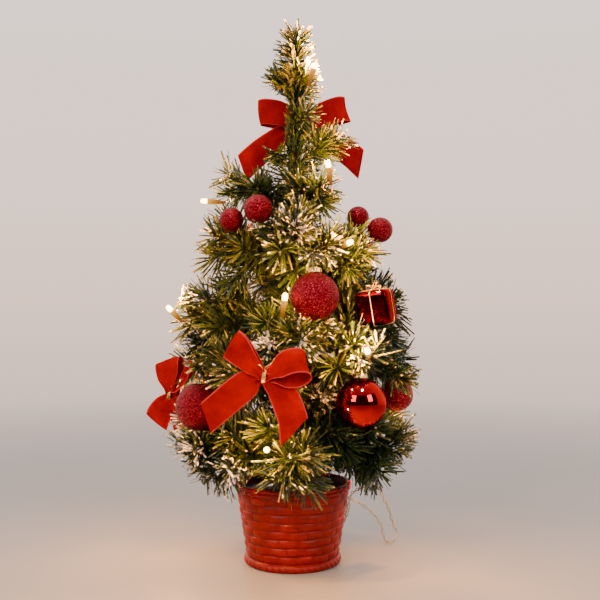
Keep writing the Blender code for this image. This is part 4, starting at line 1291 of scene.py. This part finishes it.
for r in (0.010, 0.024, 0.0385):
    pot_row(r, 0.0, 0.6)
for share in np.linspace(0, 1, 11):  # roped base flange
    z = FLANGE_HEIGHT * share
    swell = sin(pi * min(1.0, share * 1.06)) ** 0.55 if 0 < share < 1 else 0.0
    strands = 0.5 + 0.5 * np.cos(turn * 44 + share * 5.0)
    pot_row(0.0385 + 0.0015 * swell + 0.00055 * strands * swell, z, 0.45 + 0.55 * strands * swell)
pitch = (RIM_LOW - FLANGE_HEIGHT) / ROWS
for row in range(ROWS):
    shift = 0.5 * (row % 2) + 0.06 * sin(row * 2.3)
    for share in (0.02, 0.07, 0.14, 0.24, 0.38, 0.5, 0.62, 0.76, 0.86, 0.93, 0.98):
        z = FLANGE_HEIGHT + (row + share) * pitch
        u = turn * BRICKS / (2 * pi) + shift + 0.05 * np.sin(turn * 3 + row)
        near = np.abs((u % 1.0) - 0.5) * 2  # 0 in a brick's middle and 1 at its joints
        edge = 1 - 0.60 * np.clip((near - 0.86) / 0.14, 0, 1) ** 2
        rounded = 1 - abs(2 * share - 1 - 0.12 * np.sin(turn * 9 + row * 1.7)) ** 3.2
        over = 0.52 + 0.48 * np.cos(near * pi * 0.5)
        height = np.clip(rounded, 0, 1) * edge * over
        pot_row(pot_radius(z) - 0.0011 + 0.00125 * height, z, np.clip(height * 1.25, 0, 1))
for share in np.linspace(0, 1, 12):  # lower strand of the rim
    z = RIM_LOW + 0.0030 * share
    swell = sin(pi * share) ** 0.6 if 0 < share < 1 else 0.0
    strands = 0.5 + 0.5 * np.cos(turn * 36 + share * 4.2)
    pot_row(0.0470 + 0.0009 * swell + 0.0006 * strands * swell, z, 0.4 + 0.6 * strands * swell)
for share in np.linspace(0.06, 0.94, 11):  # upper strand of the rim
    z = RIM_LOW + 0.0030 + 0.0030 * share
    swell = sin(pi * share) ** 0.55
    strands = 0.5 + 0.5 * np.cos(turn * 36 - share * 4.2 + 1.2)
    pot_row(0.0472 + 0.0010 * swell + 0.0006 * strands * swell, z, 0.45 + 0.55 * strands * swell)
for r, z in ((0.0466, 0.0660), (0.0456, 0.0659), (0.0449, 0.0650), (0.0444, 0.0600), (0.0392, 0.0300),
             (0.0346, 0.0062), (0.0330, 0.0022), (0.015, 0.0022)):
    pot_row(r, z, 0.5)
verts, faces = ring_grid(rows_r, rows_z, turn)
build = Build()
build.add(verts, faces, 0, proud=np.concatenate([*rows_proud, [0.6, 0.6]]))
fit(build.make("pot-woven", [POT]), "tree", "pot")

# Filler: an uneven poured top
turn = np.linspace(0, 2 * pi, 120, endpoint=False)
rows_r, rows_z = [], []
for r, z in ((0.015, 0.0030), (0.0320, 0.0030), (0.0335, 0.0070), (0.0385, 0.0300), (0.0425, 0.0575)):
    rows_r.append(np.full(turn.shape, r))
    rows_z.append(np.full(turn.shape, z))
for r in np.linspace(0.0418, 0.0048, 22):
    wavy = (0.0007 * np.sin(3 * turn + r * 420) + 0.0006 * np.sin(7 * turn - r * 900)
            + 0.0004 * np.sin(13 * turn + r * 1500))
    fade = min(1.0, (0.0425 - r) / 0.004) * min(1.0, (r - 0.004) / 0.006)
    rows_r.append(np.full(turn.shape, r))
    rows_z.append(0.0590 + 0.0020 * min(1.0, (0.0425 - r) / 0.02) + wavy * fade)
fit(single("pot-fill-poured", FILLER, ring_grid(rows_r, rows_z, turn)), "tree", "pot-fill")


# ------------------------------------------------------------------ battery box, and finishes on CAD solids
for name, mat in (("trunk", STEM), ("battery-box", BOX), ("battery-cover", BOX), ("battery-switch", KNOB),
                  ("battery-1", WRAP), ("battery-2", WRAP)):
    slots = nodes[name].data.materials
    for k in range(len(slots)):
        slots[k] = mat
low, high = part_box("battery-cover")
middle = (low.y + high.y) / 2
build = Build()
for k in range(6):
    x = low.x + 0.006 + k * 0.0022
    span_y = (high.y - low.y) * (0.30 - 0.02 * k)
    line = np.linspace([x, middle - span_y, high.z - 0.0001], [x, middle + span_y, high.z - 0.0001], 9)
    build.add(*sweep(line, 0.00055, 8))
fit(build.make("battery-cover-grip", [BOX]), "battery-cover")


# ------------------------------------------------------------------ floor, sky and studio lights
def floor_material():
    """Pale sweep that runs out into the backdrop."""
    mat = grained("floor", (3.0,), [(0.3, (0.286, 0.280, 0.276)), (0.7, (0.310, 0.304, 0.300))], 0.42, None,
                  {"Specular IOR Level": 0.25})
    tree = mat.node_tree
    where = tree.nodes.new("ShaderNodeTexCoord").outputs["Object"]
    far = shader_node(tree, "ShaderNodeVectorMath", {0: where}, operation="LENGTH").outputs["Value"]
    clear = tree.nodes.new("ShaderNodeBsdfTransparent")
    mixed = tree.nodes.new("ShaderNodeMixShader")
    put(tree, mixed, 0, span(tree, far, 0.30, 1.5))
    tree.links.new(tree.nodes["Principled BSDF"].outputs[0], mixed.inputs[1])
    tree.links.new(clear.outputs[0], mixed.inputs[2])
    tree.links.new(mixed.outputs[0], tree.nodes["Material Output"].inputs["Surface"])
    return mat


turn = np.linspace(0, 2 * pi, 96, endpoint=False)
rings = [0.02, 0.1, 0.3, 0.6, 1.2, 2.5]
verts = [np.stack([r * np.cos(turn), r * np.sin(turn), np.full(96, -0.0002)], axis=1) for r in rings]
faces = grid_faces(len(rings), 96) + [tuple(range(96))]
single("floor", floor_material(), (np.concatenate(verts), faces))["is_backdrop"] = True

world = bpy.data.worlds.new("studio")
world.use_nodes = True
tree = world.node_tree
sky = tree.nodes["Background"]
where = tree.nodes.new("ShaderNodeTexCoord").outputs["Generated"]
parts = shader_node(tree, "ShaderNodeSeparateXYZ", {0: where}).outputs
put(tree, sky, "Strength", span(tree, parts[1], -0.6, 0.7, 0.60, 1.60))
put(tree, sky, "Color", ramp(tree, span(tree, parts[2], -0.30, 0.40), [
    (0.0, (0.40, 0.33, 0.30)), (0.18, (0.473, 0.375, 0.338)), (0.29, (0.681, 0.528, 0.464)),
    (0.463, (0.915, 0.655, 0.545)), (0.63, (0.975, 0.755, 0.650)), (0.93, (0.988, 0.825, 0.763))]))
scene.world = world


def softbox(name, spot, aim_at, size, watts):
    data = bpy.data.lights.new(name, "AREA")
    data.shape = "RECTANGLE"
    data.size, data.size_y = size
    data.energy = watts
    data.color = (1.0, 0.97, 0.94)
    ob = bpy.data.objects.new(name, data)
    ob.location = spot
    ob.rotation_mode = "QUATERNION"
    ob.rotation_quaternion = (Vector(aim_at) - Vector(spot)).to_track_quat("-Z", "Y")
    scene.collection.objects.link(ob)


softbox("softbox-left", (-0.85, -1.15, 0.80), (0, 0, 0.20), (0.55, 0.75), 14.0)
softbox("softbox-right", (0.95, -1.10, 0.80), (0, 0, 0.20), (0.55, 0.75), 12.0)
softbox("softbox-top", (0.0, 0.25, 1.50), (0, 0, 0.15), (1.2, 1.0), 7.0)

# A dark card behind the camera, seen only in reflections
sweep_turn = np.radians(np.linspace(-165, -15, 31))
rows = [np.stack([1.9 * np.cos(sweep_turn), 1.9 * np.sin(sweep_turn), np.full(31, z)], axis=1)
        for z in (0.02, 0.6, 1.7)]
flag, tree, shader = new_material("flag")
put(tree, shader, "Base Color", (0.02, 0.02, 0.02, 1.0))
put(tree, shader, "Roughness", 0.9)
card = single("flag", flag, (np.concatenate(rows), grid_faces(3, 31, wrap=False)))
for ray in ("camera", "diffuse", "shadow", "transmission"):
    setattr(card, "visible_" + ray, False)
card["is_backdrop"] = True

low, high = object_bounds()
